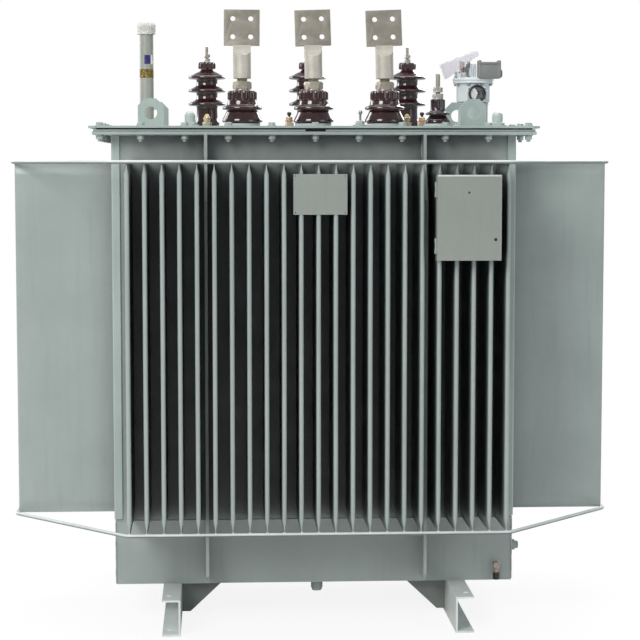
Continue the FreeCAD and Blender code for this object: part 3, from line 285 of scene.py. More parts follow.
PAINT = (0.258, 0.298, 0.283)
PAINT_PALE = (0.300, 0.342, 0.325)
PAINT_DUST = (0.31, 0.322, 0.300)


def paint_look(name, base=PAINT, pale=PAINT_PALE, deep=0.0, rough=0.36, dust=0.25):
    """Sprayed enamel: soft clouds of tone, orange-peel bump, dust low down, paler edges, and with deep a
    painted shade that darkens deep gaps.
    """
    look = Look(name)
    clouds = look.ramp(look.noise(3.2, 4.0, 0.6), 0.35, 0.65)
    colour = look.mix(clouds, base, pale)
    runs = look.ramp(look.noise(2.0, 5.0, 0.65, (22, 22, 1.6)), 0.52, 0.72, 0.0, 0.35)
    colour = look.mix(runs, colour, tuple(c * 0.86 for c in base))
    low_down = look.ramp(look.height(), 0.55, 0.0, 0.0, dust)
    dusty = look.maths("MULTIPLY", low_down, look.ramp(look.noise(9.0, 6.0, 0.7), 0.35, 0.75))
    colour = look.mix(dusty, colour, PAINT_DUST)
    specks = look.ramp(look.noise(240.0, 2.0, 0.5), 0.70, 0.76, 0.0, 0.35)
    colour = look.mix(specks, colour, tuple(c * 0.55 for c in base))
    colour = look.mix(look.edge_wear_and_sheen(0.0016, 0.35), colour, (0.62, 0.68, 0.65))
    # painted shade: with deep set, ambient occlusion darkens the colour in the deep gaps between the fins
    if deep:
        gap = look.ramp(look.hollow(0.16), 0.12, 0.68)
        colour = look.mix(gap, tuple(c * deep for c in (0.10, 0.13, 0.14)), colour)
    look.set("Base Color", colour)
    look.gloss(14.0, 4.0, rough - 0.06, rough + 0.12, 0.6)
    look.set("Coat Weight", 0.15)
    look.set("Coat Roughness", 0.2)
    peel = look.maths("ADD", look.maths("MULTIPLY", look.noise(420.0, 2.0, 0.5), 0.35),
                      look.noise(38.0, 2.0, 0.5))
    look.bump(peel, 0.10, 0.0012)
    return look.material


def rod_look():
    """Tie-rod enamel with painted light: a pale copy of the tank enamel as a painted highlight on top, and
    painted shade on the underside.
    """
    look = Look("rod_enamel_lit_and_shaded", 0.35)
    facing_up = look.node("ShaderNodeSeparateXYZ")
    look.link(look.node("ShaderNodeNewGeometry").outputs["Normal"], facing_up.inputs[0])
    # painted shade: the colour darkens where the rod faces down; the pale colour above is a painted
    # highlight
    above = look.ramp(facing_up.outputs["Z"], -0.35, 0.35)
    clouds = look.ramp(look.noise(6.0, 4.0, 0.6), 0.35, 0.65)
    pale = look.mix(clouds, (0.50, 0.55, 0.53), (0.60, 0.65, 0.63))
    look.set("Base Color", look.mix(above, (0.13, 0.145, 0.14), pale))
    look.gloss(30.0, 4.0, 0.28, 0.48, 0.6)
    look.bump(look.noise(160.0, 3.0, 0.5), 0.12, 0.0008)
    return look.material


def glaze_look(name, dark, light, ridge):
    """Dark glaze that thins to a warmer tone on ridges, where the paler tone is also a painted highlight."""
    look = Look(name, 0.07)
    mottle = look.ramp(look.noise(60.0, 5.0, 0.65), 0.35, 0.7)
    colour = look.mix(mottle, dark, light)
    # edge colour: partly thinner glaze on ridges, partly a painted highlight on shed rims and flute edges
    colour = look.mix(look.edge_wear_and_sheen(0.003, 0.85), colour, ridge)
    look.set("Base Color", colour)
    look.gloss(30.0, 3.0, 0.10, 0.20)
    look.set("Specular IOR Level", 0.5)
    look.set("Coat Weight", 0.55)
    look.set("Coat Roughness", 0.07)
    look.bump(look.noise(55.0, 2.0, 0.4), 0.03, 0.002)
    return look.material


def metal_look(name, dark, light, rough=0.36, grain=(1, 1, 1), scale=60.0, metallic=0.9, edge=None):
    """Plated or turned metal with a fine directional grain and dull patches."""
    look = Look(name, rough, metallic)
    patches = look.ramp(look.noise(scale * 0.5, 5.0, 0.6), 0.3, 0.7)
    colour = look.mix(patches, dark, light)
    spots = look.ramp(look.noise(scale * 6, 3.0, 0.6), 0.66, 0.75, 0.0, 0.6)
    colour = look.mix(spots, colour, tuple(c * 0.6 for c in dark))
    if edge:
        colour = look.mix(look.edge_wear_and_sheen(0.0008, 0.7), colour, edge)
    look.set("Base Color", colour)
    fine = look.noise(scale * 10, 4.0, 0.6, grain)
    look.set("Roughness", look.ramp(fine, 0.3, 0.7, rough - 0.1, rough + 0.12))
    look.bump(fine, 0.10, 0.0004)
    return look.material


def rubber_look(name, base=(0.012, 0.012, 0.013), rough=0.62):
    """Matt black rubber or moulded plastic with a bloom of dust."""
    look = Look(name, rough)
    bloom = look.ramp(look.noise(45.0, 5.0, 0.7), 0.45, 0.75, 0.0, 0.5)
    look.set("Base Color", look.mix(bloom, base, tuple(c + 0.03 for c in base)))
    look.gloss(80.0, 3.0, rough - 0.12, rough + 0.1)
    look.bump(look.noise(500.0, 2.0, 0.5), 0.12, 0.0005)
    return look.material


def plastic_look(name, base, rough=0.42, grain=900.0, pale=1.12):
    """Moulded plastic with a fine spark-eroded grain and slightly paler edges."""
    look = Look(name, rough)
    tone = look.ramp(look.noise(18.0, 3.0, 0.5), 0.3, 0.7)
    colour = look.mix(tone, base, tuple(min(1.0, c * pale) for c in base))
    colour = look.mix(look.edge_wear_and_sheen(0.001, 0.3), colour, tuple(min(1.0, c * 1.5) for c in base))
    look.set("Base Color", colour)
    look.gloss(40.0, 3.0, rough - 0.08, rough + 0.08)
    look.bump(look.noise(grain, 2.0, 0.5), 0.15, 0.0003)
    return look.material


def clear_look(name, tint, alpha, rough=0.12):
    """Thin clear or milky plastic, part see-through so that light still reaches what it covers."""
    look = Look(name, rough)
    haze = look.ramp(look.noise(35.0, 4.0, 0.6), 0.3, 0.7)
    look.set("Base Color", look.mix(haze, tint, tuple(min(1.0, c * 1.08) for c in tint)))
    scuffs = look.ramp(look.noise(160.0, 4.0, 0.6, (1, 1, 0.2)), 0.55, 0.75, rough, rough + 0.25)
    look.set("Roughness", scuffs)
    rim = look.edge_wear_and_sheen(0.002, 0.45)
    look.set("Alpha", look.maths("ADD", look.ramp(haze, 0.0, 1.0, alpha - 0.06, alpha + 0.06), rim))
    look.set("Specular IOR Level", 0.7)
    look.bump(look.noise(70.0, 3.0, 0.5), 0.08, 0.001)
    return look.material


def layered_look(name, dark, light, spacing, metallic):
    """Stacked sheets or wound turns: thin level lines with a drift of tone."""
    look = Look(name, 0.5, metallic)
    wave = look.node("ShaderNodeTexWave", bands_direction="Z")
    wave.inputs["Scale"].default_value = spacing
    wave.inputs["Distortion"].default_value = 0.6
    look.link(look.place, wave.inputs["Vector"])
    tone = look.maths("MULTIPLY", wave.outputs["Fac"], look.ramp(look.noise(12.0, 4.0, 0.6), 0.2, 0.8,
                                                                 0.6, 1.0))
    look.set("Base Color", look.mix(tone, dark, light))
    look.gloss(30.0, 3.0, 0.4, 0.65)
    look.bump(wave.outputs["Fac"], 0.3, 0.001)
    return look.material


def band_look():
    """Ochre band with darker blocks, a plain mark with no lettering."""
    look = Look("level_band", 0.4)
    cells = look.node("ShaderNodeTexVoronoi", feature="F1", distance="CHEBYCHEV")
    cells.inputs["Scale"].default_value = 190.0
    look.link(look.place, cells.inputs["Vector"])
    blocks = look.ramp(cells.outputs["Distance"], 0.26, 0.36, 0.0, 0.9)
    colour = look.mix(blocks, (0.50, 0.36, 0.030), (0.022, 0.012, 0.005))
    look.set("Base Color", look.mix(look.ramp(look.noise(70.0, 3.0, 0.5), 0.35, 0.65), colour,
                                    (0.16, 0.10, 0.012)))
    look.gloss(50.0, 2.0, 0.3, 0.5)
    look.bump(look.noise(90.0, 2.0, 0.5), 0.1, 0.0003)
    return look.material


LOOKS = {
    "paint": paint_look("tank_enamel"),
    # the fins' enamel carries painted shade in the gaps between them
    "fins": paint_look("fin_enamel_gap_shade", deep=0.16),
    "cover": paint_look("cover_enamel", base=(0.285, 0.338, 0.320), pale=(0.340, 0.395, 0.376), dust=0.0),
    "lug": paint_look("lug_enamel", base=(0.320, 0.382, 0.362), pale=(0.375, 0.436, 0.416), dust=0.0),
    "fitting": paint_look("fitting_enamel", base=(0.375, 0.435, 0.415), pale=(0.435, 0.50, 0.478), dust=0.0),
    # tie rods and their tacks: painted highlight on top, painted shade underneath
    "rod": rod_look(),
    # painted shade: the gussets sit in shadow under the tank, so their enamel is a darker copy of the tank
    # enamel
    "gusset": paint_look("gusset_enamel_painted_shade", base=(0.130, 0.147, 0.140), pale=(0.165, 0.184, 0.176)),
    # painted highlight: the door's top lip is a much paler copy of the door enamel
    "lip": paint_look("lip_enamel_painted_highlight", base=(0.44, 0.49, 0.475), pale=(0.54, 0.59, 0.57), dust=0.0),
    # painted light: the skid rails are the tank enamel in a much paler copy, standing in for the light
    # falling on them
    "rail": paint_look("rail_enamel_painted_light", base=(0.58, 0.63, 0.615), pale=(0.68, 0.72, 0.70)),
    "plate": paint_look("plate_enamel", base=(0.208, 0.230, 0.207), pale=(0.235, 0.258, 0.234),
                        rough=0.45, dust=0.0),
    "tube": paint_look("tube_enamel", base=(0.262, 0.278, 0.245), pale=(0.32, 0.33, 0.295), dust=0.0),
    "casting": paint_look("relay_enamel", base=(0.61, 0.645, 0.675), pale=(0.72, 0.75, 0.78), rough=0.42,
                          dust=0.0),
    "glaze": glaze_look("porcelain_glaze", (0.012, 0.0034, 0.0038), (0.042, 0.0100, 0.0105),
                        (0.200, 0.090, 0.086)),
    "hv_glaze": glaze_look("hv_glaze", (0.020, 0.0072, 0.0085), (0.054, 0.0180, 0.0210),
                           (0.190, 0.105, 0.108)),
    "dark_glaze": glaze_look("neutral_glaze", (0.010, 0.0040, 0.0065), (0.026, 0.0085, 0.0125),
                             (0.075, 0.036, 0.042)),
    "tin": metal_look("tinned_terminal", (0.222, 0.203, 0.168), (0.330, 0.308, 0.262), 0.46, (1, 1, 0.08),
                      40.0, 0.6,
                      (0.55, 0.53, 0.48)),
    "barrel": metal_look("clamp_barrel", (0.40, 0.375, 0.325), (0.52, 0.492, 0.435), 0.52, (0.1, 0.1, 1),
                         50.0, 0.3,
                         (0.66, 0.63, 0.57)),
    "nut": metal_look("plated_nut", (0.30, 0.27, 0.21), (0.55, 0.51, 0.43), 0.33, (1, 1, 1), 60.0, 0.85,
                      (0.75, 0.72, 0.64)),
    "bright_nut": metal_look("stud_nut_tin", (0.38, 0.365, 0.33), (0.64, 0.62, 0.575), 0.32, (1, 1, 1),
                             60.0, 0.8,
                             (0.80, 0.78, 0.73)),
    "steel": metal_look("zinc_steel", (0.28, 0.28, 0.27), (0.46, 0.46, 0.45), 0.38, (1, 1, 1), 70.0, 0.85),
    "brass": metal_look("brass", (0.42, 0.28, 0.09), (0.72, 0.52, 0.22), 0.3, (1, 1, 1), 80.0, 0.9,
                        (0.85, 0.68, 0.36)),
    "pale_brass": metal_look("pale_brass", (0.50, 0.42, 0.28), (0.78, 0.68, 0.50), 0.32, (1, 1, 1), 80.0,
                             0.8,
                             (0.88, 0.80, 0.62)),
    "copper": metal_look("copper", (0.38, 0.15, 0.08), (0.60, 0.28, 0.16), 0.35, (1, 1, 0.1), 50.0, 0.9),
    "bronze": metal_look("sight_tube_bronze", (0.26, 0.17, 0.13), (0.46, 0.36, 0.31), 0.4, (1, 1, 0.1),
                         60.0, 0.7,
                         (0.60, 0.34, 0.24)),
    "rubber": rubber_look("gasket_rubber"),
    "black": plastic_look("black_knob", (0.014, 0.014, 0.015), 0.3),
    "grey": plastic_look("relay_box_grey", (0.182, 0.184, 0.184), 0.45),
    "yellow": plastic_look("yellow_top", (0.62, 0.44, 0.10), 0.35),
    "orange": plastic_look("orange_ring", (0.58, 0.22, 0.11), 0.4),
    "white": plastic_look("white_float", (0.78, 0.78, 0.75), 0.3),
    "blue": plastic_look("blue_mark", (0.020, 0.015, 0.115), 0.35),
    "band": band_look(),
    "milky": clear_look("milky_cap", (0.60, 0.60, 0.565), 0.68, 0.3),
    "clear": clear_look("clear_hood", (0.62, 0.60, 0.66), 0.26, 0.1),
    "glass": clear_look("sight_glass", (0.30, 0.33, 0.35), 0.08, 0.03),
    "core": layered_look("core_steel", (0.05, 0.052, 0.056), (0.20, 0.205, 0.215), 90.0, 0.7),
    "coil": layered_look("coil_wrap", (0.22, 0.14, 0.07), (0.46, 0.33, 0.18), 40.0, 0.0),
    "primer": paint_look("clamp_primer", base=(0.05, 0.055, 0.06), pale=(0.08, 0.085, 0.09), dust=0.0),
}


# ---------------------------------------------------------------- mesh building
class Shell:
    """Gathers closed surfaces into one mesh."""

    def __init__(self):
        self.verts = []
        self.faces = []

    def grid(self, rows, around=True, along=False, caps=True):
        """Joins rows of points. around closes each row, along joins the last row to the first."""
        first = len(self.verts)
        count = len(rows[0])
        for row in rows:
            self.verts += [tuple(p) for p in row]
        spans = len(rows) if along else len(rows) - 1
        steps = count if around else count - 1
        for i in range(spans):
            a = first + i * count
            b = first + (i + 1) % len(rows) * count
            for j in range(steps):
                k = (j + 1) % count
                self.faces.append((a + j, a + k, b + k, b + j))
        if caps and not along:
            self.faces.append(tuple(first + j for j in reversed(range(count))))
            last = first + (len(rows) - 1) * count
            self.faces.append(tuple(last + j for j in range(count)))

    def lathe(self, profile, place, segments=48, shape=None, closed=False, axis=None):
        """A turned surface whose profile corners are rounded first."""
        self.turn(rounded(profile), place, segments, shape, closed, axis)

    def turn(self, profile, place, segments=48, shape=None, closed=False, axis=None):
        """A turned surface from (radius, height) points in mm about an axis through place."""
        frame_of = Matrix.Translation(place)
        if axis is not None:
            frame_of = frame_of @ axis
        rows = []
        for r, z in profile:
            row = []
            for j in range(segments):
                angle = TAU * j / segments
                radius = shape(angle, r, z) if shape else r
                spot = Vector((radius * math.cos(angle), radius * math.sin(angle), z)) * MM
                row.append(frame_of @ spot)
            rows.append(row)
        self.grid(rows, True, closed, not closed)

    def sweep(self, points, radius, segments=8, closed=False, swell=None):
        """A round bar along a path. swell(distance) scales the radius."""
        count = len(points)
        side = None
        rows = []
        run = 0.0
        for i, point in enumerate(points):
            before = points[i - 1] if closed or i else point
            after = points[(i + 1) % count] if closed or i < count - 1 else point
            ahead = (after - before).normalized()
            if side is None:
                side = ahead.orthogonal().normalized()
            side = (side - ahead * side.dot(ahead)).normalized()
            other = ahead.cross(side)
            run += (point - before).length if i else 0.0
            size = radius * (swell(run) if swell else 1.0)
            angles = [TAU * j / segments for j in range(segments)]
            rows.append([point + (side * math.cos(a) + other * math.sin(a)) * size for a in angles])
        self.grid(rows, True, closed)

    def block(self, low, high, soft=1.0 * MM, place=None):
        """A box with rounded upright edges and softened top and bottom rims."""
        low = Vector(low)
        high = Vector(high)
        centre = (low + high) / 2
        half = (high - low) / 2
        soft = min(soft, min(half) * 0.9)
        rows = []
        for inset, z in ((soft, -half.z), (soft * 0.3, -half.z + soft * 0.3), (0, -half.z + soft),
                         (0, half.z - soft), (soft * 0.3, half.z - soft * 0.3), (soft, half.z)):
            row = []
            for sx, sy, start in CORNERS:
                for step in range(4):
                    angle = (start + step / 3) * math.pi / 2
                    x = sx * (half.x - soft) + math.cos(angle) * max(soft - inset, soft * 0.05)
                    y = sy * (half.y - soft) + math.sin(angle) * max(soft - inset, soft * 0.05)
                    row.append(Vector((x, y, z)))
            rows.append(row)
        matrix = place if place is not None else Matrix.Identity(4)
        self.grid([[matrix @ (centre + p) for p in row] for row in rows])

    def piece(self, name, look, body="tank", stands_for=(), sharp=40):
        """Makes the object, gives it its material and puts it on its body."""
        mesh = bpy.data.meshes.new(name)
        mesh.from_pydata(self.verts, [], self.faces)
        return finish_piece(name, mesh, look, body, stands_for, sharp)


def finish_piece(name, mesh, look, body="tank", stands_for=(), sharp=40):
    """Links a mesh, smooths it, and sets its look, body and the nodes it stands for."""
    work = bmesh.new()
    work.from_mesh(mesh)
    bmesh.ops.remove_doubles(work, verts=work.verts, dist=1e-7)
    bmesh.ops.recalc_face_normals(work, faces=work.faces)
    work.to_mesh(mesh)
    work.free()
    mesh.polygons.foreach_set("use_smooth", [True] * len(mesh.polygons))
    mesh.set_sharp_from_angle(angle=math.radians(sharp))
    mesh.materials.append(LOOKS[look])
    piece = bpy.data.objects.new(name, mesh)
    bpy.context.scene.collection.objects.link(piece)
    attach(piece, body)
    if stands_for:
        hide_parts(*stands_for)
    return piece


def rounded(points, steps=4):
    """Rounds the corners of a (radius, height[, corner]) profile in mm."""
    out = []
    last = len(points) - 1
    for i, point in enumerate(points):
        here = Vector(point[:2])
        corner = point[2] if len(point) > 2 else 0
        if not corner or i in (0, last):
            out.append(tuple(here))
            continue
        back = Vector(points[i - 1][:2]) - here
        ahead = Vector(points[i + 1][:2]) - here
        a = here + back.normalized() * min(corner, back.length * 0.48)
        b = here + ahead.normalized() * min(corner, ahead.length * 0.48)
        for step in range(steps + 1):
            t = step / steps
            out.append(tuple(a.lerp(here, t).lerp(here.lerp(b, t), t)))
    return out


def hexed(flats):
    """A shape for Shell.turn that trims a turned profile to a hexagon."""
    def shape(angle, r, z):
        within = (angle + math.pi / 6) % (math.pi / 3) - math.pi / 6
        return min(r, flats / 2 / math.cos(math.pi / 6 - abs(within)))
    return shape


def lobed(count, depth, low, high):
    """A shape that presses rounded flutes into a profile between two heights."""
    def shape(angle, r, z):
        if z < low or z > high:
            return r
        fade = min(1.0, (z - low) / 2.0, (high - z) / 2.0)
        return r - depth * fade * (1 - abs(math.cos(angle * count / 2)))
    return shape


def threaded(pitch, depth):
    """A shape that cuts a screw thread into a round profile."""
    def shape(angle, r, z):
        phase = (z / pitch - angle / TAU) % 1.0
        return r - depth * abs(2 * phase - 1)
    return shape


def nut_into(shell, place, low, high, flats, bore):
    """A hexagon nut or, with bore 0, a bolt head. Heights in mm above place."""
    face = flats * 0.475
    edge = flats / math.sqrt(3) + 0.05
    rise = (edge - face) * 0.55
    lift = [(face + (edge - face) * t, low + rise * t * t) for t in (0, 0.35, 0.7, 1.0)]
    drop = [(r, low + high - z) for r, z in reversed(lift)]
    outline = [(face * 0.98, low)] + lift + drop
    if bore:
        outline = [(bore, low + 0.6), (bore + 0.6, low)] + outline + [(bore + 0.6, high), (bore, high - 0.6)]
        shell.turn(outline, place, 48, hexed(flats), closed=True)
    else:
        shell.turn(outline + [(face * 0.5, high + 0.15)], place, 48, hexed(flats))


def thread_into(shell, place, low, high, radius, pitch, segments=24):
    """A length of screw thread with a chamfered end."""
    steps = max(2, round((high - low) / pitch * 6))
    outline = [(radius, low + (high - low) * i / steps) for i in range(steps + 1)]
    outline += [(radius - 0.1 * pitch, high + 0.2 * pitch), (radius - pitch * 0.7, high + 0.6 * pitch)]
    shell.turn(outline, place, segments, threaded(pitch, pitch * 0.55))


def weld(shell, points, radius=2.6 * MM, closed=False):
    """Adds a rippled weld bead along a path to a shell."""
    points = [Vector(p) for p in points]
    step = 0.0022
    path = []
    pairs = zip(points, points[1:] + points[:1]) if closed else zip(points, points[1:])
    for a, b in pairs:
        count = max(1, int((b - a).length / step))
        path += [a.lerp(b, i / count) for i in range(count)]
    if not closed:
        path.append(points[-1])
    uneven = [p + noise.noise_vector(p * 60) * radius * 0.35 for p in path]

    def swell(run):
        ripple = 0.16 * math.sin(run * TAU / 0.0052)
        return 1.0 + ripple + 0.18 * noise.noise(Vector((run * 45, radius * 900, 0)))
    shell.sweep(uneven, radius, 6, closed, swell)


def ring_points(place, radius, count=40):
    """Points round a level circle."""
    return [Vector((place.x + radius * math.cos(TAU * i / count),
                    place.y + radius * math.sin(TAU * i / count), place.z)) for i in range(count)]


def circle_spots(place, radius, count, upright=False):
    """Evenly spaced points in mm round a level or an upright circle, half a step off the x axis."""
    spots = []
    for i in range(count):
        angle = TAU * (i + 0.5) / count
        across = radius * math.cos(angle)
        along = radius * math.sin(angle)
        spots.append(place + Vector((across, 0, along) if upright else (across, along, 0)) * MM)
    return spots


def plate_piece(name, outline, holes, thick, place, look, body="tank", stands_for=(), bevel=0.6):
    """A flat plate with round holes: outline and holes (x, y, radius) in mm, in the plane of place."""
    curve = bpy.data.curves.new(name + "_outline", "CURVE")
    curve.dimensions = "2D"
    curve.fill_mode = "BOTH"
    curve.extrude = (thick / 2 - bevel) * MM
    curve.bevel_depth = bevel * MM
    curve.bevel_resolution = 2
    curve.offset = -bevel * MM
    loops = [outline]
    for x, y, radius in holes:
        loops.append([(x + radius * math.cos(TAU * i / 40), y - radius * math.sin(TAU * i / 40))
                      for i in range(40)])
    for loop in loops:
        spline = curve.splines.new("POLY")
        spline.points.add(len(loop) - 1)
        for point, (x, y) in zip(spline.points, loop):
            point.co = (x * MM, y * MM, 0, 1)
        spline.use_cyclic_u = True
    maker = bpy.data.objects.new(name + "_maker", curve)
    bpy.context.scene.collection.objects.link(maker)
    bpy.context.view_layer.update()
    mesh = bpy.data.meshes.new_from_object(maker.evaluated_get(bpy.context.evaluated_depsgraph_get()))
    bpy.data.objects.remove(maker)
    mesh.materials.clear()
    mesh.transform(place)
    return finish_piece(name, mesh, look, body, stands_for, 30)


def facing(axis, place):
    """A matrix that turns +Z towards an axis and moves to a place."""
    return Matrix.Translation(Vector(place)) @ Vector(axis).to_track_quat("Z", "Y").to_matrix().to_4x4()


UPRIGHT = Matrix.Rotation(math.pi / 2, 4, "X")      # a plan in x, y becomes one in x, z
FORWARD = facing((0, -1, 0), (0, 0, 0))
SIDEWAYS = facing((1, 0, 0), (0, 0, 0))


# ---------------------------------------------------------------- tank
def fin_rows(bottom, top, depth, bend):
    """Rows of (across, outward, up) points for one fin, pinched to a welded seam at both ends."""
    half = FIN_THICK / 2 * MM
    thin = FIN_SEAM_THICK / 2 * MM
    ends = [(0.0, 0.7), (0.001, 1.5), (0.0026, 1.55), (0.0042, 1.0), (0.010, 1.0)]
    taper = [(0.010 + 0.026 * t, 1.0 + (half / thin - 1.0) * (t * t * (3 - 2 * t)))
             for t in (0.15, 0.3, 0.45, 0.6, 0.75, 0.9, 1.0)]
    lower = [(bottom + dz, thin * size) for dz, size in ends + taper]
    upper = [(top - dz, thin * size) for dz, size in reversed(ends + taper)]
    span = upper[0][0] - lower[-1][0]
    plain = [(lower[-1][0] + span * i / 14, half) for i in range(1, 14)]
    rows = []
    for z, h in lower + plain + upper:
        sway = bend * math.sin((z - bottom) / (top - bottom) * math.pi)
        tip = depth - h
        side = [-0.001, depth * 0.25, depth * 0.5, depth * 0.75, tip]
        row = [(sway * (v / depth) - h, v, z) for v in side]
        row += [(sway - h * math.cos(math.pi * i / 8), tip + h * math.sin(math.pi * i / 8),
                 z) for i in range(1, 8)]
        row += [(sway * (v / depth) + h, v, z) for v in reversed(side)]
        rows.append(row)
    return rows


def fin_places(count):
    """Where the fins of a row stand along their wall."""
    return [(i - (count - 1) / 2) * FIN_PITCH * MM for i in range(count)]


def finned_wall(side, count):
    """One tank wall: a slightly uneven sheet with its row of fins."""
    node = "tank_wall_" + side
    low, high = low_high(node)
    sheet = WALL_SHEET * MM
    along_x = side in ("front", "back")
    sign = -1 if side in ("front", "left") else 1
    if along_x:
        face = (high.y - sheet) if side == "front" else (low.y + sheet)
        depth = abs((low.y if side == "front" else high.y) - face)
        half = (high.x - low.x) / 2
    else:
        face = (high.x - sheet) if side == "left" else (low.x + sheet)
        depth = abs((low.x if side == "left" else high.x) - face)
        half = (high.y - low.y) / 2

    def world(across, outward, up):
        if along_x:
            return Vector((across, face + sign * outward, up))
        return Vector((face + sign * outward, across, up))

    fin_low, fin_high = fin_heights()
    shell = Shell()
    columns = 24
    bands = 20
    rows = []
    for i in range(bands + 1):
        up = low.z + (high.z - low.z) * i / bands
        outer = []
        inner = []
        for j in range(columns + 1):
            across = -half + 2 * half * j / columns
            at_rim = j in (0, columns) or i in (0, bands)
            wave = 0.0 if at_rim else 0.5 * MM * noise.noise(Vector((across * 4, up * 4, sign)))
            outer.append(world(across, min(wave, 0.0), up))
            inner.append(world(across, -sheet, up))
        rows.append(outer + inner[::-1])
    shell.grid(rows)
    chance = random.Random(len(side) + count)
    for across in fin_places(count):
        bend = chance.uniform(-0.5, 0.5) * MM
        rows = [[world(across + a, v, z) for a, v, z in row]
                for row in fin_rows(fin_low, fin_high, depth, bend)]
        shell.grid(rows)
    shell.piece("finned_wall_" + side, "fins", "tank", [node], 50)


def fin_heights():
    """Bottom and top of the fins, from the tie rods that run across them."""
    low, high = low_high("fin_tie_rods")
    return low.z + (TIE_ROD_R + 2) * MM, high.z - (TIE_ROD_R + 2) * MM


def tie_rods():
    """Bent round bars round the fin tips, with a tack weld on every fin."""
    low, high = low_high("fin_tie_rods")
    radius = TIE_ROD_R * MM
    long_x = ((LONG_FIN_COUNT - 1) / 2 * FIN_PITCH + TIE_ROD_PAST_FIN) * MM
    end_y = ((END_FIN_COUNT - 1) / 2 * FIN_PITCH + TIE_ROD_PAST_FIN) * MM
    end_x = high.x - radius
    long_y = high.y - radius
    quarter = [(long_x, long_y), (end_x, end_y)]
    corners = (quarter + [(x, -y) for x, y in reversed(quarter)] + [(-x, -y) for x, y in quarter]
               + [(-x, y) for x, y in reversed(quarter)])
    rods = Shell()
    tacks = Shell()
    chance = random.Random(7)
    for z, inward in ((low.z + radius, 3.4 * MM), (high.z - radius, -3.4 * MM)):
        rods.sweep(bent_path([Vector((x, y, z)) for x, y in corners], TIE_ROD_BEND * MM), radius, 16, True)
        spots = [Vector((x, s * (long_y - radius),
                         z + inward)) for x in fin_places(LONG_FIN_COUNT) for s in (-1, 1)]
        spots += [Vector((s * (end_x - radius), y,
                          z + inward)) for y in fin_places(END_FIN_COUNT) for s in (-1, 1)]
        for spot in spots:
            size = chance.uniform(3.2, 4.4)
            angles = [math.pi * t / 8 for t in range(1, 8)]
            blob = [(size * math.sin(a), -size * math.cos(a) * 0.85) for a in angles]
            tacks.turn(blob, spot, 12, lambda a, r, z, k=size: r * (1 + 0.18 * math.sin(3 * a + k * 9)))
    rods.piece("tie_rods", "rod", "tank", ["fin_tie_rods"], 60)
    tacks.piece("tie_rod_tacks", "rod", sharp=80)


def bent_path(corners, bend):
    """Points along a closed path whose corners are bent to a radius."""
    path = []
    for i, corner in enumerate(corners):
        back = (corners[i - 1] - corner).normalized()
        ahead = (corners[(i + 1) % len(corners)] - corner).normalized()
        half_angle = back.angle(ahead) / 2
        trim = bend / math.tan(half_angle)
        start = corner + back * trim
        end = corner + ahead * trim
        centre = corner + (back + ahead).normalized() * (bend / math.sin(half_angle))
        for step in range(7):
            spot = start.lerp(end, step / 6)
            path.append(centre + (spot - centre).normalized() * bend)
    return path


def tank_welds():
    """Weld beads where the tank's plates meet."""
    base_low, base_high = low_high("tank_base")
    flange_foot = low_high("tank_flange")[0].z
    above_fins = 1.30       # the welds at a stiffener's upper end start here
    shell = Shell()
    x = base_high.x
    y = base_high.y
    for z in (base_high.z, flange_foot - 1 * MM):
        weld(shell, [(-x, -y, z), (x, -y, z), (x, y, z), (-x, y, z)], 2.4 * MM, True)
    for sx in (-1, 1):
        for sy in (-1, 1):
            weld(shell, [(sx * x, sy * y, base_low.z + 0.004), (sx * x, sy * y, base_high.z - 0.004)],
                 2.2 * MM)
    for low, high in islands("tank_stiffeners"):
        wall = y if middle((low, high)).y > 0 else -y
        for side_x in (low.x, high.x):
            for z0, z1 in ((low.z, base_high.z - 0.004), (above_fins, high.z)):
                weld(shell, [(side_x, wall, z0), (side_x, wall, z1)], 2.2 * MM)
    for low, high in islands("corner_posts"):
        end_x, long_y = math.copysign(x, low.x), math.copysign(y, low.y)
        edge_x = low.x if low.x > 0 else high.x
        edge_y = low.y if low.y > 0 else high.y
        for spot_x, spot_y in ((edge_x, long_y), (end_x, edge_y)):
            weld(shell, [(spot_x, spot_y, low.z + 0.003), (spot_x, spot_y, high.z - 0.003)], 2.4 * MM)
    for low, high in islands("skid_rails"):
        for side_x in (low.x, high.x):
            weld(shell, [(side_x, -y + 0.004, high.z), (side_x, y - 0.004, high.z)], 2.6 * MM)
    shell.piece("tank_welds", "paint", sharp=80)


def cover_welds():
    """Weld beads round everything welded to the cover."""
    shell = Shell()
    for low, high in islands("lifting_lugs"):
        z = low.z + 0.5 * MM
        loop = [(low.x, low.y, z), (high.x, low.y, z), (high.x, high.y, z), (low.x, high.y, z)]
        weld(shell, loop, 3.0 * MM, True)
    for low, high in islands("bushing_bosses"):
        place = below((low, high)) + UP * (low.z + 0.4 * MM)
        weld(shell, ring_points(place, (high.x - low.x) / 2), 2.4 * MM, True)
    cover = cover_top() * MM
    for place, radius in ((relay_axis(), 58.0), (below(low_high("filler_tube")), 26.0)):
        weld(shell, ring_points(place + UP * (cover + 0.4 * MM), radius * MM), 2.4 * MM, True)
    for box in islands("thermometer_pockets"):
        weld(shell, ring_points(below(box) + UP * (cover + 0.3 * MM), 25 * MM), 2.0 * MM, True)
    shell.piece("cover_welds", "lug", sharp=80)


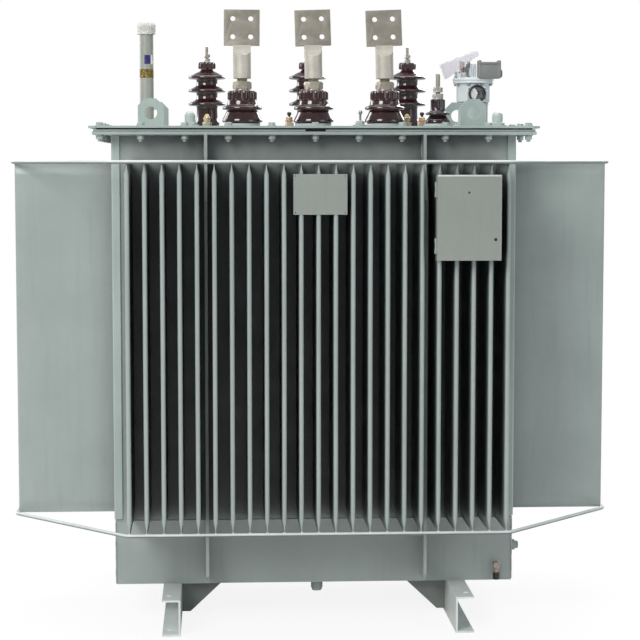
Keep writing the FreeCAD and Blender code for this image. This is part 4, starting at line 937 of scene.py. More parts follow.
# ---------------------------------------------------------------- cover bolts
def cover_bolts():
    """Hexagon bolts with rolled threads and their nuts under the flange."""
    heads = Shell()
    nuts = Shell()
    nut_boxes = {(round(middle(b).x, 3), round(middle(b).y, 3)): b for b in islands("cover_nuts")}
    chance = random.Random(3)
    for low, high in islands("cover_bolts"):
        place = below((low, high))
        nut = nut_boxes[(round(place.x, 3), round(place.y, 3))]
        turn = Matrix.Rotation(chance.uniform(0, TAU), 4, "Z")
        head_high = high.z / MM
        head_low = head_high - 7.5
        face = BOLT_FLATS * 0.475
        edge = BOLT_FLATS / math.sqrt(3) + 0.05
        outline = [(BOLT_R, nut[1].z / MM + 0.2), (BOLT_R, head_low), (face, head_low),
                   (edge, head_low + 0.3), (edge, head_high - 1.2), (edge * 0.96, head_high - 0.7),
                   (face, head_high - 0.1), (face - 1, head_high), (face * 0.6, head_high),
                   (face * 0.55, head_high - 0.4)]
        heads.turn(outline, place, 48, hexed(BOLT_FLATS), axis=turn)
        thread_into(heads, place + UP * low.z, 1.0, (nut[1].z - low.z) / MM - 0.4, BOLT_R - 0.1, 1.75)
        turn = Matrix.Rotation(chance.uniform(0, TAU), 4, "Z")
        nut_low = nut[0].z / MM
        nut_high = nut[1].z / MM
        rise = (edge - face) * 0.6
        outline = [(BOLT_R + 0.05, nut_low + 0.5), (face, nut_low), (edge, nut_low + rise),
                   (edge, nut_high - rise), (face, nut_high), (BOLT_R + 0.05, nut_high - 0.5)]
        nuts.turn(outline, place, 48, hexed(BOLT_FLATS), closed=True, axis=turn)
    heads.piece("cover_bolt_set", "lug", "tank", ["cover_bolts"], 30)
    nuts.piece("cover_nut_set", "lug", "tank", ["cover_nuts"], 30)


# ---------------------------------------------------------------- bushings
def lv_bushings():
    """Skirted low-voltage porcelains with fluted caps, their nuts and studs."""
    shell = Shell()
    metal = Shell()
    studs = Shell()
    base = porcelain_foot()
    for palm in mounts("lv_palm"):
        place = below(palm) + Vector((0, PALM_THICK / 2 * MM, 0))
        foot = LV_CAP_FOOT
        top = LV_CAP_TOP
        upper = rounded([(16, base + 1), (54, base, 2), (56.3, base + 1.5, 3), (55.5, base + 8, 5),
                         (49.5, base + 19, 8), (44, base + 31, 5), (41.5, base + 35, 2.5),
                         (52.5, base + 35.2, 1.6), (55.4, base + 37.4, 1.8), (55.4, base + 41, 1.8),
                         (53.5, base + 44, 2), (46, base + 46.5, 3), (42.3, base + 49, 2.5),
                         (40.2, foot - 0.5, 1), (16, foot)])
        shell.turn(upper, place, 72, closed=True)
        cap = rounded([(16, foot + 0.2), (37, foot + 0.2, 1), (40.5, foot + 2.5, 2), (41, foot + 5, 2),
                       (41, top - 5, 2), (40, top - 1.5, 2), (36, top, 2), (16, top)])
        shell.turn(densify(cap, foot + 1, top, 1.2), place, 180, lobed(14, 3.2, foot + 1.5, top - 0.5),
                   closed=True)
        sleeve = rounded([(16, 1318), (30.8, 1318, 2), (30.8, 1352, 1), (44, 1352, 2), (44, 1373, 2),
                          (31, 1373, 1), (31, base, 0), (16, base)])
        shell.turn(sleeve, place, 48, closed=True)
        bore = LV_STUD_R + 0.1
        metal.lathe([(bore, top + 0.1), (23, top + 0.1, 0.8), (24, top + 1, 0.8), (24, top + 3.4, 0.8),
                     (23, top + 4, 0.8), (bore, top + 4)], place, 48, closed=True)
        nut_into(metal, place, top + 4.1, top + 26, 46.0, bore)
        nut_into(metal, place, 1300, 1318, 46.0, bore)
        thread_into(studs, place, 1270, 1299.5, LV_STUD_R, 2.0, 36)
        studs.turn([(LV_STUD_R - 0.4, 1299), (LV_STUD_R - 0.4, top + 5)], place, 36)
        thread_into(studs, place, top + 20, LV_STUD_TOP, LV_STUD_R, 2.0, 36)
    shell.piece("lv_porcelain_set", "glaze", "tank", ["lv_porcelains"], 38)
    metal.piece("lv_nut_set", "nut", "tank", ["lv_nuts"], 30)
    studs.piece("lv_stud_set", "nut", "tank", ["lv_studs"], 45)


def densify(profile, low, high, step):
    """Adds points to the long stretches of a profile between two heights."""
    out = []
    for (r0, z0), (r1, z1) in zip(profile, profile[1:]):
        out.append((r0, z0))
        if min(z0, z1) >= low and max(z0, z1) <= high:
            count = int(abs(z1 - z0) / step)
            out += [(r0 + (r1 - r0) * i / count, z0 + (z1 - z0) * i / count) for i in range(1, count)]
    out.append(profile[-1])
    return out


def clipped_row(matrix, radius, half_y, z):
    """A level section of a round bar milled flat in front and behind, in mm."""
    top = math.asin(min(1.0, half_y / radius))
    row = []
    for start, end in ((-top, top), (top, math.pi - top), (math.pi - top, math.pi + top),
                       (math.pi + top, TAU - top)):
        for step in range(16):
            angle = start + (end - start) * step / 16
            y = max(-half_y, min(half_y, radius * math.sin(angle)))
            row.append(matrix @ (Vector((radius * math.cos(angle), y, z)) * MM))
    return row


def lv_terminals():
    """Clamp barrels milled down to a flat neck under four-hole palms, each leaning a little."""
    barrels = Shell()
    leans = (-0.3, -1.0, -1.3)      # degrees the barrels lean
    turns = (0.7, -0.9, -1.0)       # degrees the palms turn against their barrels
    half = PALM_SIDE / 2
    foot_z = low_high("lv_terminals")[0].z
    bar = BARREL_R
    outline = []
    corner = 1.2
    for sx, sy, start in CORNERS:
        for step in range(4):
            angle = (start + step / 3) * math.pi / 2
            outline.append((sx * (half - corner) + corner * math.cos(angle),
                            sy * (half - corner) + corner * math.sin(angle)))
    reach = PALM_HOLE_GAUGE / 2
    holes = [(dx, dy, PALM_HOLE_R) for dx in (-reach, reach) for dy in (-reach, reach)]
    for i, palm in enumerate(mounts("lv_palm")):
        foot = Vector((palm.x, palm.y + PALM_THICK / 2 * MM, foot_z))
        lean = Matrix.Translation(foot) @ Matrix.Rotation(math.radians(leans[i]), 4, "Y")
        neck = (palm.z - foot_z) / MM - half
        rows = [clipped_row(lean, r, r, z) for r, z in ((15.3, 1.0), (16.5, 0.0), (bar - 1.2, 0.0),
                                                        (bar, 1.2),
                                                        (bar, 20.0), (bar, 40.0), (bar, neck - 29.0))]
        for step in range(11):
            t = step / 10
            flat = 24.9 - 19.6 * math.sin(t * math.pi / 2)
            rows.append(clipped_row(lean, bar, flat, neck - 28.0 + 21.0 * t))
        rows.append(clipped_row(lean, bar, 5.1, neck + 2.0))
        barrels.grid(rows)
        centre = lean @ Vector((0, 0, palm.z - foot_z))
        tilt = Matrix.Translation(centre) @ Matrix.Rotation(math.radians(leans[i] + turns[i]), 4, "Y")
        stands = ["lv_terminals"] if i == 0 else ()
        plate_piece("lv_palm_%d" % (i + 1), outline, holes, PALM_THICK, tilt @ UPRIGHT, "tin", "tank",
                    stands, 0.5)
    barrels.piece("lv_clamp_barrels", "barrel", sharp=35)


def hv_bushings():
    """Three-shed porcelains with a lobed cap, and the neutral's small porcelain."""
    shell = Shell()
    studs = Shell()
    nuts = Shell()
    base = porcelain_foot()
    for stud in mounts("hv_stud"):
        place = below(stud)
        top = HV_CAP_TOP
        outline = [(5.6, 1262), (23, 1262, 2), (27.8, 1280, 3), (28, base, 0), (36, base, 1.5),
                   (37, base + 7, 3), (31.5, base + 17, 6)]
        for z in HV_SHEDS:
            outline += [(30.3, z - 15, 6), (33.5, z - 6.5, 3), (50.5, z - 8.4, 1.6), (54.4, z - 7, 2.0),
                        (55, z - 3.4, 2.0), (53.4, z - 0.4, 2.0), (43, z + 3.5, 6), (32, z + 10, 5)]
        outline += [(22, top - 28, 5), (17.6, top - 23, 2), (18, top - 21, 1), (24, top - 20.4, 1),
                    (26, top - 17.5, 2), (26, top - 4, 2.5), (22, top - 0.2, 2.5), (5.6, top)]
        profile = densify(rounded(outline), top - 21, top + 1, 1.5)
        shell.turn(profile, place, 96, lobed(8, 4.0, top - 20.8, top + 0.5), closed=True)
        for low, high in ((top + 2, top + 10), (top + 15, top + 23), (1254, 1262)):
            nut_into(nuts, place, low, high, 17.0, HV_STUD_R + 0.05)
        for low in (top, top + 13):
            nuts.lathe([(5.05, low), (9.5, low, 0.4), (10, low + 0.8, 0.4), (9.5, low + 1.9, 0.4),
                        (5.05, low + 1.9)], place, 32, closed=True)
        thread_into(studs, place, 1235, 1253, HV_STUD_R, 1.5)
        studs.turn([(HV_STUD_R - 0.4, 1252), (HV_STUD_R - 0.4, top + 11)], place, 24)
        thread_into(studs, place, top + 9, HV_STUD_TOP, HV_STUD_R, 1.5)
    shell.piece("hv_porcelain_set", "hv_glaze", "tank", ["hv_porcelains"], 38)
    neutral_bushing(studs, nuts, base)
    nuts.piece("stud_nut_set", "bright_nut", "tank", ["stud_nuts"], 30)
    studs.piece("stud_set", "nut", "tank", ["hv_studs", "neutral_stud"], 45)


def neutral_bushing(studs, nuts, base):
    """The neutral's small fluted porcelain, with its stud and nuts added to the shared sets."""
    place = below(mounts("neutral_stud")[0])
    top = NEUTRAL_TOP
    bore = NEUTRAL_STUD_R + 0.05
    outline = [(7.6, 1330), (15, 1330, 2), (20, 1340, 3), (20, base, 0), (34.5, base, 1.5),
               (35.5, base + 1.5, 2), (34.5, base + 6, 4), (27, base + 14, 6), (22.5, base + 21, 2),
               (33, base + 21.5, 1), (35, base + 24.5, 1.5), (33.5, base + 27.5, 1.5),
               (23, base + 31, 4), (20.5, base + 35, 3), (20.5, top - 2.5, 2), (18, top, 1), (7.6, top)]
    profile = densify(rounded(outline), base + 38, top + 1, 1.5)
    small = Shell()
    small.turn(profile, place, 96, lobed(14, 1.2, base + 39, top - 2), closed=True)
    small.piece("neutral_porcelain_body", "dark_glaze", "tank", ["neutral_porcelain"], 38)
    for low, radius, nut_top, flats in ((top, 15, top + 15, 27.0), (top + 19, 14, top + 33, 24.0)):
        nuts.lathe([(bore, low), (radius - 0.6, low, 0.6), (radius, low + 1, 0.6),
                    (radius, low + 2, 0.6), (radius - 0.6, low + 3, 0.6), (bore, low + 3)], place, 40,
                   closed=True)
        nut_into(nuts, place, low + 3, nut_top, flats, bore)
    nut_into(nuts, place, 1318, 1330, 24.0, bore)
    thread_into(studs, place, 1300, 1318, NEUTRAL_STUD_R, 2.0)
    studs.turn([(NEUTRAL_STUD_R - 0.5, 1316), (NEUTRAL_STUD_R - 0.5, top + 4)], place, 24)
    thread_into(studs, place, top + 4, NEUTRAL_STUD_TOP, NEUTRAL_STUD_R, 2.0)


# ---------------------------------------------------------------- fittings on the cover
def filler():
    """Filler tube with its marks, ribbed milky cap and collar."""
    box = low_high("filler_tube")
    place = below(box)
    cover = cover_top()
    top = box[1].z / MM
    tube = Shell()
    tube.lathe([(17, 1310), (20, 1310, 1), (20, cover, 0), (26, cover, 0), (26, cover + 5, 2),
                (21, cover + 7, 2), (20, cover + 9, 1), (20, top - 24, 0), (20, top, 0.6), (17, top)],
               place, 64, closed=True)
    tube.piece("filler_pipe", "tube", "tank", ["filler_tube"], 35)
    band = Shell()
    band.lathe([(20.02, 1527), (20.25, 1527, 0.1), (20.25, 1551.5, 0.1), (20.02, 1551.5)], place, 64,
               closed=True)
    band.piece("level_band", "band", sharp=35)
    for inner, outer, start, end, z0, z1, name, look in (
            (FILLER_R + 0.02, 20.3, -70, -30, 1565.5, 1592, "level_mark_pale", "white"),
            (FILLER_R + 0.1, 20.42, -106, -52, 1566, 1591.5, "level_mark_blue", "blue")):
        rows = []
        patch = Shell()
        for step in range(13):
            angle = math.radians(start + (end - start) * step / 12)
            rows.append([place + Vector((r * math.cos(angle), r * math.sin(angle), z)) * MM
                         for r, z in ((inner, z0), (outer, z0), (outer, z1), (inner, z1))])
        patch.grid(rows)
        patch.piece(name, look, sharp=40)
    low, high = low_high("filler_cap")
    bottom = low.z / MM
    roof = high.z / MM
    outline = rounded([(20.1, bottom + 0.5), (25.5, bottom, 0.6), (26.5, bottom + 1.5, 0.6),
                       (26.5, bottom + 4, 0.6), (25.6, bottom + 5, 0.5), (25.6, bottom + 6, 0.4),
                       (26.5, bottom + 7, 0.5), (26.5, roof - 8, 2), (24, roof - 3, 3), (19, roof, 2),
                       (6, roof, 1), (5, roof - 0.8, 0.3)])
    inner = [(5, roof - 3), (17, roof - 14), (20.1, roof - 14)]
    cap = Shell()
    profile = densify(outline, bottom + 6, roof - 3, 1.4) + inner
    cap.turn(profile, place, 192, lobed(32, 1.5, bottom + 6.5, roof - 2), closed=True)
    cap.piece("filler_cap_milky", "milky", "filler_cap", ["filler_cap"], 40)


def pockets():
    """Domed caps on the thermometer pockets."""
    caps = Shell()
    bore = POCKET_CAP_BORE
    for low, high in islands("pocket_caps"):
        place = below((low, high))
        z = low.z / MM
        top = high.z / MM
        outline = rounded([(bore, z + 0.5), (14.6, z, 0.5), (15, z + 1.2, 0.5), (15, z + 19, 4),
                           (13.6, z + 25.5, 4), (8, top - 0.6, 3), (2, top)])
        inner = [(2, top - 3), (bore, top - 11)]
        caps.turn(outline + inner, place, 64, lobed(24, 0.35, z + 2, z + 17), closed=True)
    caps.piece("pocket_cap_set", "fitting", "tank", ["pocket_caps"], 40)


def vents():
    """Brass bleed plugs: hexagon foot, knurled collar, and a coloured or black top."""
    brass = Shell()
    tops = {"yellow": Shell(), "black": Shell(), "orange": Shell()}
    cover = cover_top()
    for box, knob in zip(islands("vent_plugs"), islands("vent_plug_knobs")):
        place = below(box)
        brass.turn([(6, cover - 14), (6, cover + 1)], place, 24)
        nut_into(brass, place, cover, cover + 13, 22.0, 0)
        collar = rounded([(7.5, cover + 12.5), (7.8, cover + 17, 1), (9.5, cover + 18.5, 0.8),
                          (9.5, cover + 27, 0.8), (8, cover + 29, 1), (5, cover + 29)])
        brass.turn(densify(collar, cover + 18, cover + 28, 1.0), place, 72,
                   lobed(24, 0.7, cover + 18.4, cover + 27.4))
        z = cover + 29.0
        if knob[1].z - knob[0].z > 10 * MM:
            outline = rounded([(3.6, z), (3.8, z + 4, 1), (6.3, z + 6.5, 2), (6.5, z + 9, 2),
                               (5.5, z + 13, 2.5), (1, z + 14)])
            tops["black"].turn(outline, place, 40)
            tops["orange"].lathe([(8.05, cover + 15.2), (11.4, cover + 15.4, 0.6),
                                  (11.4, cover + 19.6, 0.6), (8.05, cover + 20)], place, 40, closed=True)
        else:
            outline = rounded([(6.8, z), (7, z + 1, 0.6), (6.9, z + 3.4, 1.2), (4, z + 7, 2), (1, z + 8)])
            tops["yellow"].turn(outline, place, 40)
    brass.piece("vent_plug_set", "pale_brass", "tank", ["vent_plugs"], 35)
    tops["black"].piece("vent_knobs_black", "black", "tank", ["vent_plug_knobs"], 45)
    tops["yellow"].piece("vent_tops_yellow", "yellow", sharp=45)
    tops["orange"].piece("vent_rings_orange", "orange", sharp=45)


def relief_stem():
    """The relief valve's threaded stem with its pull ball."""
    low, high = low_high("relief_valve_stem")
    place = below((low, high))
    z = low.z / MM
    top = high.z / MM
    shell = Shell()
    shell.lathe([(2, z), (7.4, z, 0.6), (8, z + 1, 0.6), (8, z + 3.6, 0.6), (3.5, z + 5, 1),
                 (3.4, z + 14)], place, 40)
    thread_into(shell, place, z + 13, top - 12, 3.5, 1.0)
    shell.lathe([(3, top - 14), (4.5, top - 12, 1), (6, top - 9, 2), (6, top - 4, 2),
                 (3.4, top - 0.5, 1.5), (0.8, top)], place, 40)
    shell.piece("relief_stem_pull", "steel", "relief_stem", ["relief_valve_stem"], 45)


# ---------------------------------------------------------------- gas relay
def relay_y():
    """The relay's axis in y, from its head."""
    return low_high("relay_head")[1].y - 60 * MM


def relay_axis():
    """A point on the relay's upright axis, on the floor."""
    return Vector((middle(low_high("relay_body")).x, relay_y(), 0))


def gas_relay():
    """Riser and float chamber with a bolted head, round window, wiring box and clear hood."""
    place = relay_axis()
    cover = cover_top()
    top = low_high("relay_body")[1].z / MM
    riser = Shell()
    riser.lathe([(30, cover + 0.2), (58, cover + 0.2, 0.8), (58, cover + 8, 1.5), (46, cover + 9.5, 3),
                 (43, cover + 13, 2), (43, top - 63, 2), (45.5, top - 60, 1), (45.5, top - 56, 1),
                 (30, top - 55)], place, 96, closed=True)
    for spot in circle_spots(place, 51.5, 6):
        nut_into(riser, spot, cover + 7.6, cover + 14, 10.0, 0)
    riser.piece("relay_riser", "fitting", "tank", ["relay_body"], 35)
    chamber = Shell()
    chamber.lathe([(30, top - 54.9), (46, top - 54.9, 2), (48.5, top - 51, 3), (48.5, top - 5, 2),
                   (50.5, top - 2, 1), (50.5, top - 0.1, 0.4), (43, top - 0.1, 0), (43, top - 50, 2),
                   (30, top - 51)], place, 96, closed=True)
    centre = middle(low_high("relay_window"))
    centre.y = place.y - 49.5 * MM
    boss = [(20, -13.5), (31.5, -13.5), (31.5, -2.0), (30.0, -0.2), (26.5, -0.2), (26, -1.2), (20, -1.2)]
    chamber.lathe([(r, z, 0.6) for r, z in boss], centre, 72, closed=True, axis=FORWARD)
    chamber.piece("relay_chamber", "casting", sharp=35)
    bezel = Shell()
    outline = rounded([(19.8, 4.2), (19.8, 5.4, 0.5), (21.4, 6.9, 0.8), (23.8, 6.9, 1), (25.0, 5.2, 1),
                       (25.0, 0.1, 0.3), (22.7, 0.1, 0), (22.7, 4.2)])
    bezel.turn(outline, centre, 72, closed=True, axis=FORWARD)
    bezel.piece("relay_bezel", "black", sharp=35)
    screws = Shell()
    for spot in circle_spots(centre, 28.2, 6, upright=True):
        screws.lathe([(2.0, -1), (2.0, 0.6, 0.3), (1.5, 1.4, 0.4), (0.4, 1.5)], spot, 16, axis=FORWARD)
    screws.piece("relay_window_screws", "steel", sharp=35)
    glass = Shell()
    glass.lathe([(0.5, 2.2), (22.3, 2.2, 0.5), (22.5, 3, 0.4), (22.3, 3.8, 0.5), (0.5, 4.0)], centre, 64,
                axis=FORWARD)
    glass.piece("relay_sight_glass", "glass", "tank", ["relay_window"], 35)
    relay_dial(centre)
    relay_head(place)
    relay_box()
    relay_hood()
    relay_float()


def relay_dial(centre):
    """The dark plate behind the glass, with raised rings and a pale half-disc pointer."""
    dial = Shell()
    rings = Shell()
    for radius in (16.5, 12.5, 8.5):
        rings.turn([(radius - 0.8, 0.5), (radius + 0.8, 0.5), (radius + 0.8, 1.1), (radius - 0.8, 1.1)],
                   centre + Vector((4, 0, 1)) * MM if radius < 16 else centre, 48, closed=True,
                   axis=FORWARD)
    dial.turn([(1, -0.9), (19.5, -0.9), (19.5, 0.5), (1, 0.5)], centre, 64, axis=FORWARD)
    dial.piece("relay_dial", "black", sharp=35)
    rings.piece("relay_dial_rings", "grey", sharp=35)
    pointer = Shell()
    angles = [math.radians(a) for a in range(112, 262, 10)]
    spots = [(2.0, 1.0)] + [(19 * math.cos(a), 19 * math.sin(a)) for a in angles]
    pointer.grid([[centre + Vector((x, -y, z)) * MM for x, z in spots] for y in (1.15, 1.75)])
    pointer.piece("relay_indicator", "white", sharp=40)


def relay_head(place):
    """The head flange with its bolts, posts, sight tube and hood hinge."""
    bottom = low_high("relay_head")[0].z / MM
    top = bottom + 16.0
    shell = Shell()
    shell.lathe([(4, bottom), (57.5, bottom, 1), (59, bottom + 1.5, 1), (59, bottom + 5.5, 1),
                 (57.5, bottom + 6.5, 0.5), (57.5, bottom + 7.5, 0.5), (60, bottom + 8.5, 1),
                 (60, top - 1.2, 1.2), (58.5, top, 1), (4, top)], place, 96)
    posts = ((-34, -6, 14.0, 7.0, 16), (-8, -2, 12.0, 6.0, 6), (5, 6, 7.0, 5.0, 5))
    for dx, dy, foot, radius, step in posts:
        spot = place + Vector((dx, dy, 0)) * MM
        shell.lathe([(foot, top - 0.5), (foot, top + step - 2, 1), (foot - 2, top + step, 1),
                     (radius, top + step, 0.6), (radius, top + 41, 1), (radius - 1.5, top + 43, 0.8),
                     (1, top + 43)], spot, 40, lobed(10, 1.0, top + 1, top + step - 2))
    hinge = joint_place("relay_hood_lift")
    for side in (-1, 1):
        y0, y1 = sorted((place.y + side * 31 * MM, place.y + side * 36 * MM))
        shell.block((hinge.x - 5 * MM, y0, (top - 8) * MM), (hinge.x + 5 * MM, y1, hinge.z + 5 * MM),
                    1.2 * MM)
    shell.piece("relay_head_flange", "casting", "tank", ["relay_head"], 35)
    steel = Shell()
    for i, spot in enumerate(circle_spots(place, 52, 8)):
        if i not in (6, 7):     # one would be under the wiring box, one stands close beside it
            nut_into(steel, spot, top, top + 6, 10.0, 0)
        nut_into(steel, spot, bottom - 6.2, bottom, 10.0, 0)
    steel.turn([(2, -35), (2, 35)], hinge, 20, axis=FORWARD)
    for side in (-1, 1):
        steel.lathe([(1, 0), (3.4, 0, 0.5), (3.4, 1.4, 0.7), (1, 2)],
                    hinge + Vector((0, side * 36 * MM, 0)), 24,
                    axis=FORWARD if side < 0 else FORWARD @ Matrix.Rotation(math.pi, 4, "X"))
    steel.piece("relay_head_bolts", "steel", sharp=35)
    pipe = Shell()
    spot = place + Vector((-34, -6, 0)) * MM
    pipe.lathe([(4, top + 16), (7.6, top + 16, 0.5), (7.6, top + 48, 0.8), (6, top + 49, 0.5),
                (1, top + 49)], spot, 32, lobed(8, 1.6, top + 19, top + 46))
    pipe.piece("relay_sight_tube", "bronze", sharp=40)
    relay_bracket(place, top)


def relay_bracket(place, top):
    """The dark contact bracket between the sight tube and the posts."""
    shell = Shell()
    for x0, x1, z0, z1 in ((-25, -15, 6, 34), (-22, -11, 30, 41), (-18, -10, 40, 49)):
        shell.block(place + Vector((x0, -9, top + z0)) * MM, place + Vector((x1, 3, top + z1)) * MM,
                    1.5 * MM)
    for z in (14, 24):
        shell.lathe([(3.6, 0), (3.6, 2.4, 0.8), (1, 3.2)], place + Vector((-20, -9, top + z)) * MM, 24,
                    axis=FORWARD)
    shell.piece("relay_contact_bracket", "grey", sharp=35)


def relay_box():
    """Moulded wiring box with a screwed lid and a cable gland."""
    low, high = low_high("relay_terminal_box")
    lid_top = high.z - 5 * MM
    far = high.x - 6 * MM
    shell = Shell()
    shell.block((low.x + 1 * MM, low.y + 1 * MM, low.z), (far, high.y - 1 * MM, lid_top - 8 * MM), 3 * MM)
    shell.block((low.x + 2.4 * MM, low.y + 2.4 * MM, low.z + 2 * MM),
                (far - 1.4 * MM, high.y - 2.4 * MM, lid_top - 5 * MM), 3 * MM)
    shell.block((low.x, low.y, lid_top - 6.8 * MM), (far + 1 * MM, high.y, lid_top), 2.2 * MM)
    z = high.z / MM
    for x in (low.x + 5 * MM, far - 4 * MM):
        for y in (low.y + 4.6 * MM, high.y - 4.6 * MM):
            shell.lathe([(4.6, z - 8), (4.6, z - 1.2, 1), (3.2, z - 0.1, 0.6), (2.2, z - 0.1, 0.2),
                         (2.0, z - 1.4, 0.2), (0.5, z - 1.4)], Vector((x, y, 0)), 32)
            shell.lathe([(4.4, low.z / MM + 2), (4.9, low.z / MM + 6, 1), (4.9, z - 12)],
                        Vector((x, y, 0)), 32)
    gland = Vector((far, (low.y + high.y) / 2, low.z + 15 * MM))
    nut_into_axis(shell, gland, -0.5, 3.0, 21.0, SIDEWAYS)
    shell.lathe([(9, 2.5), (11.3, 3.2, 0.6), (11.3, 5.4, 0.8), (8, 6, 0.4), (6.6, 5, 0.3), (0.5, 5)],
                gland, 48, lobed(18, 0.6, 3, 5.6), axis=SIDEWAYS)
    shell.piece("relay_wiring_box", "grey", "tank", ["relay_terminal_box"], 35)


def nut_into_axis(shell, place, low, high, flats, axis):
    """A hexagon across another axis."""
    face = flats * 0.475
    edge = flats / math.sqrt(3) + 0.05
    outline = [(face * 0.5, low), (face, low), (edge, low + 0.6), (edge, high - 0.6), (face, high),
               (face * 0.5, high)]
    shell.turn(outline, place, 48, hexed(flats), axis=axis)


HOOD_LEFT = -39.8
HOOD_RIGHT = 74.2
HOOD_TOP = 40.9
HOOD_ANGLE = 20.6


def hood_rim(x):
    """The height of the hood's lower rim, level at the hinge and rising to the right."""
    return max(-4.5, -4.5 + (x + 20.0) * 0.326)


def relay_hood():
    """The thin clear hood with rounded corners, swung partly open on its hinge."""
    swing = Matrix.Rotation(math.radians(-HOOD_ANGLE), 4, "Y")
    tilt = Matrix.Translation(joint_place("relay_hood_lift")) @ swing

    def row(inset, lift, below):
        points = []
        corner = 6.0
        for sx, sy, start in CORNERS:
            end = HOOD_RIGHT if sx > 0 else HOOD_LEFT
            for step in range(6):
                angle = (start + step / 5) * math.pi / 2
                x = end - sx * (corner + inset) + (corner - min(inset, 4.0) * 0.5) * math.cos(angle)
                y = sy * (30.0 - corner - inset) + (corner - min(inset, 4.0) * 0.5) * math.sin(angle)
                rim = hood_rim(x)
                z = rim + (HOOD_TOP - below - rim) * lift
                points.append(tilt @ (Vector((x, y, z)) * MM))
        return points

    outer = [row(0.0, lift, 3.0) for lift in (0.0, 0.08, 0.4, 0.75, 1.0)] + [row(0.8, 1.0, 0.8),
                                                                             row(3.0, 1.0, 0.0)]
    inner = [row(3.6, 1.0, 2.0), row(2.4, 1.0, 3.4)] + [row(2.0, lift,
                                                            4.5) for lift in (0.75, 0.4, 0.08, 0.0)]
    shell = Shell()
    shell.grid(outer, caps=False)
    shell.grid(inner, caps=False)
    count = len(outer[0])
    roof_out = (len(outer) - 1) * count
    roof_in = len(outer) * count
    rim_in = roof_in + (len(inner) - 1) * count
    shell.faces.append(tuple(roof_out + j for j in range(count)))
    shell.faces.append(tuple(roof_in + j for j in reversed(range(count))))
    for j in range(count):
        k = (j + 1) % count
        shell.faces.append((rim_in + j, rim_in + k, k, j))
    for x in (-20, 10, 40, 62):
        shell.block((0, 0, 0), (1.6 * MM, 46 * MM, 1.4 * MM), 0.5 * MM,
                    tilt @ Matrix.Translation(Vector((x, -23, HOOD_TOP - 0.4)) * MM))
    shell.piece("relay_clear_hood", "clear", "relay_hood", ["relay_hood"], 35)


def relay_float():
    """The float on its arm, inside the chamber."""
    ball_r = 14.0
    level = 1.492
    pin = joint_place("relay_float_drop")
    ball = Vector((pin.x, low_high("relay_float")[0].y + ball_r * MM, level))
    shell = Shell()
    shell.lathe([(1, -12), (2, -12, 0.4), (2, 12, 0.4), (1, 12)], pin, 20, axis=SIDEWAYS)
    shell.block((pin.x - 3 * MM, ball.y + 10 * MM, level), (pin.x + 3 * MM, pin.y + 1 * MM,
                                                            level + 4 * MM), 0.8 * MM)
    angles = [math.pi * t / 20 for t in range(1, 20)]
    outline = [(ball_r * math.sin(a), -ball_r * math.cos(a)) for a in angles]
    seam = [(ball_r, -0.8), (ball_r - 0.6, 0.0), (ball_r, 0.8)]
    outline = outline[:9] + seam + outline[10:]
    shell.turn(outline, ball, 40)
    shell.piece("relay_float_ball", "white", "relay_float", ["relay_float"], 40)


# ---------------------------------------------------------------- tank fittings
def sampling_valve():
    """Brass sampling valve with a union nut, and its black cap."""
    cap_box = low_high("sampling_valve_cap")
    spout = below(cap_box) + UP * (cap_box[0].z + 42 * MM)
    spot = Vector((spout.x, -low_high("tank_base")[1].y, spout.z))
    shell = Shell()
    flange = Shell()
    flange.lathe([(5.9, -8), (5.9, -0.1), (12.6, 0.1, 0.6), (13, 1.5, 0.8), (13, 3.6, 0.8),
                  (10, 4.6, 0.6), (5.9, 4.6)], spot, 48, axis=FORWARD)
    flange.piece("sampling_valve_flange", "cover", sharp=35)
    shell.lathe([(5, 3), (9.4, 3), (9.4, 6, 0.6), (7.4, 7.4, 1), (7, 10, 1), (7, 20, 1), (6.4, 22)],
                spot, 48, axis=FORWARD)
    nut_into_axis(shell, spot, 6.5, 12.5, 16.0, FORWARD)
    shell.lathe([(7.4, 20.5), (8.9, 21.4, 0.7), (9.5, 23, 0.8), (9.5, 27, 0.8), (8, 28, 0.8),
                 (4.4, 28.0, 0.4), (4, 26.5, 0.4), (0.6, 26.5)], spot, 48, lobed(20, 0.6, 21.5, 27),
                axis=FORWARD)
    shell.lathe([(5.6, -30), (6, -29, 0.4), (6, -19), (6, -12, 1), (7.4, -10, 1), (7.4, -1, 2), (4, 2)],
                spout, 40)
    shell.piece("sampling_valve_brass", "bronze", "tank", ["sampling_valve_body"], 35)
    cap = Shell()
    outline = rounded([(1, -42), (7.6, -42, 1), (9.3, -40.2, 1.2), (9.5, -38, 1), (9.5, -24, 1),
                       (8.2, -21.6, 0.6), (6.2, -21.6, 0.3)])
    cap.turn(densify(outline, -39, -23, 1.2) + [(6.1, -30.5), (1, -30.5)], spout, 96,
             lobed(16, 0.8, -39, -23.5), closed=True)
    cap.piece("sampling_valve_black_cap", "black", "valve_cap", ["sampling_valve_cap"], 40)


def wall_plugs():
    """Drain plug under the floor and earthing bolt on the right end."""
    drain, earth = sorted(islands("wall_plugs"), key=lambda box: box[0].z)
    shell = Shell()
    floor = low_high("tank_base")[0].z / MM
    place = below(drain)
    shell.lathe([(7.8, floor + 5), (7.8, floor - 0.1), (16, floor - 0.1, 0.5), (16.5, floor - 1.2, 0.8),
                 (16.5, floor - 26.4, 1), (14.5, floor - 28, 1), (8, floor - 28.2)], place, 48)
    nut_into(shell, place, floor - 34, floor - 28, 24.0, 0)
    centre = middle(earth)
    spot = Vector((low_high("tank_base")[1].x, centre.y, centre.z))
    shell.lathe([(5.9, -5), (5.9, 0.05), (14.6, 0.05, 0.5), (15, 1.4, 0.8), (15, 14.4, 1), (13, 16, 1),
                 (6, 16.1)], spot, 48, axis=SIDEWAYS)
    nut_into_axis(shell, spot, 16.0, 25.0, 19.5, SIDEWAYS)
    shell.piece("wall_plug_set", "paint", "tank", ["wall_plugs"], 35)


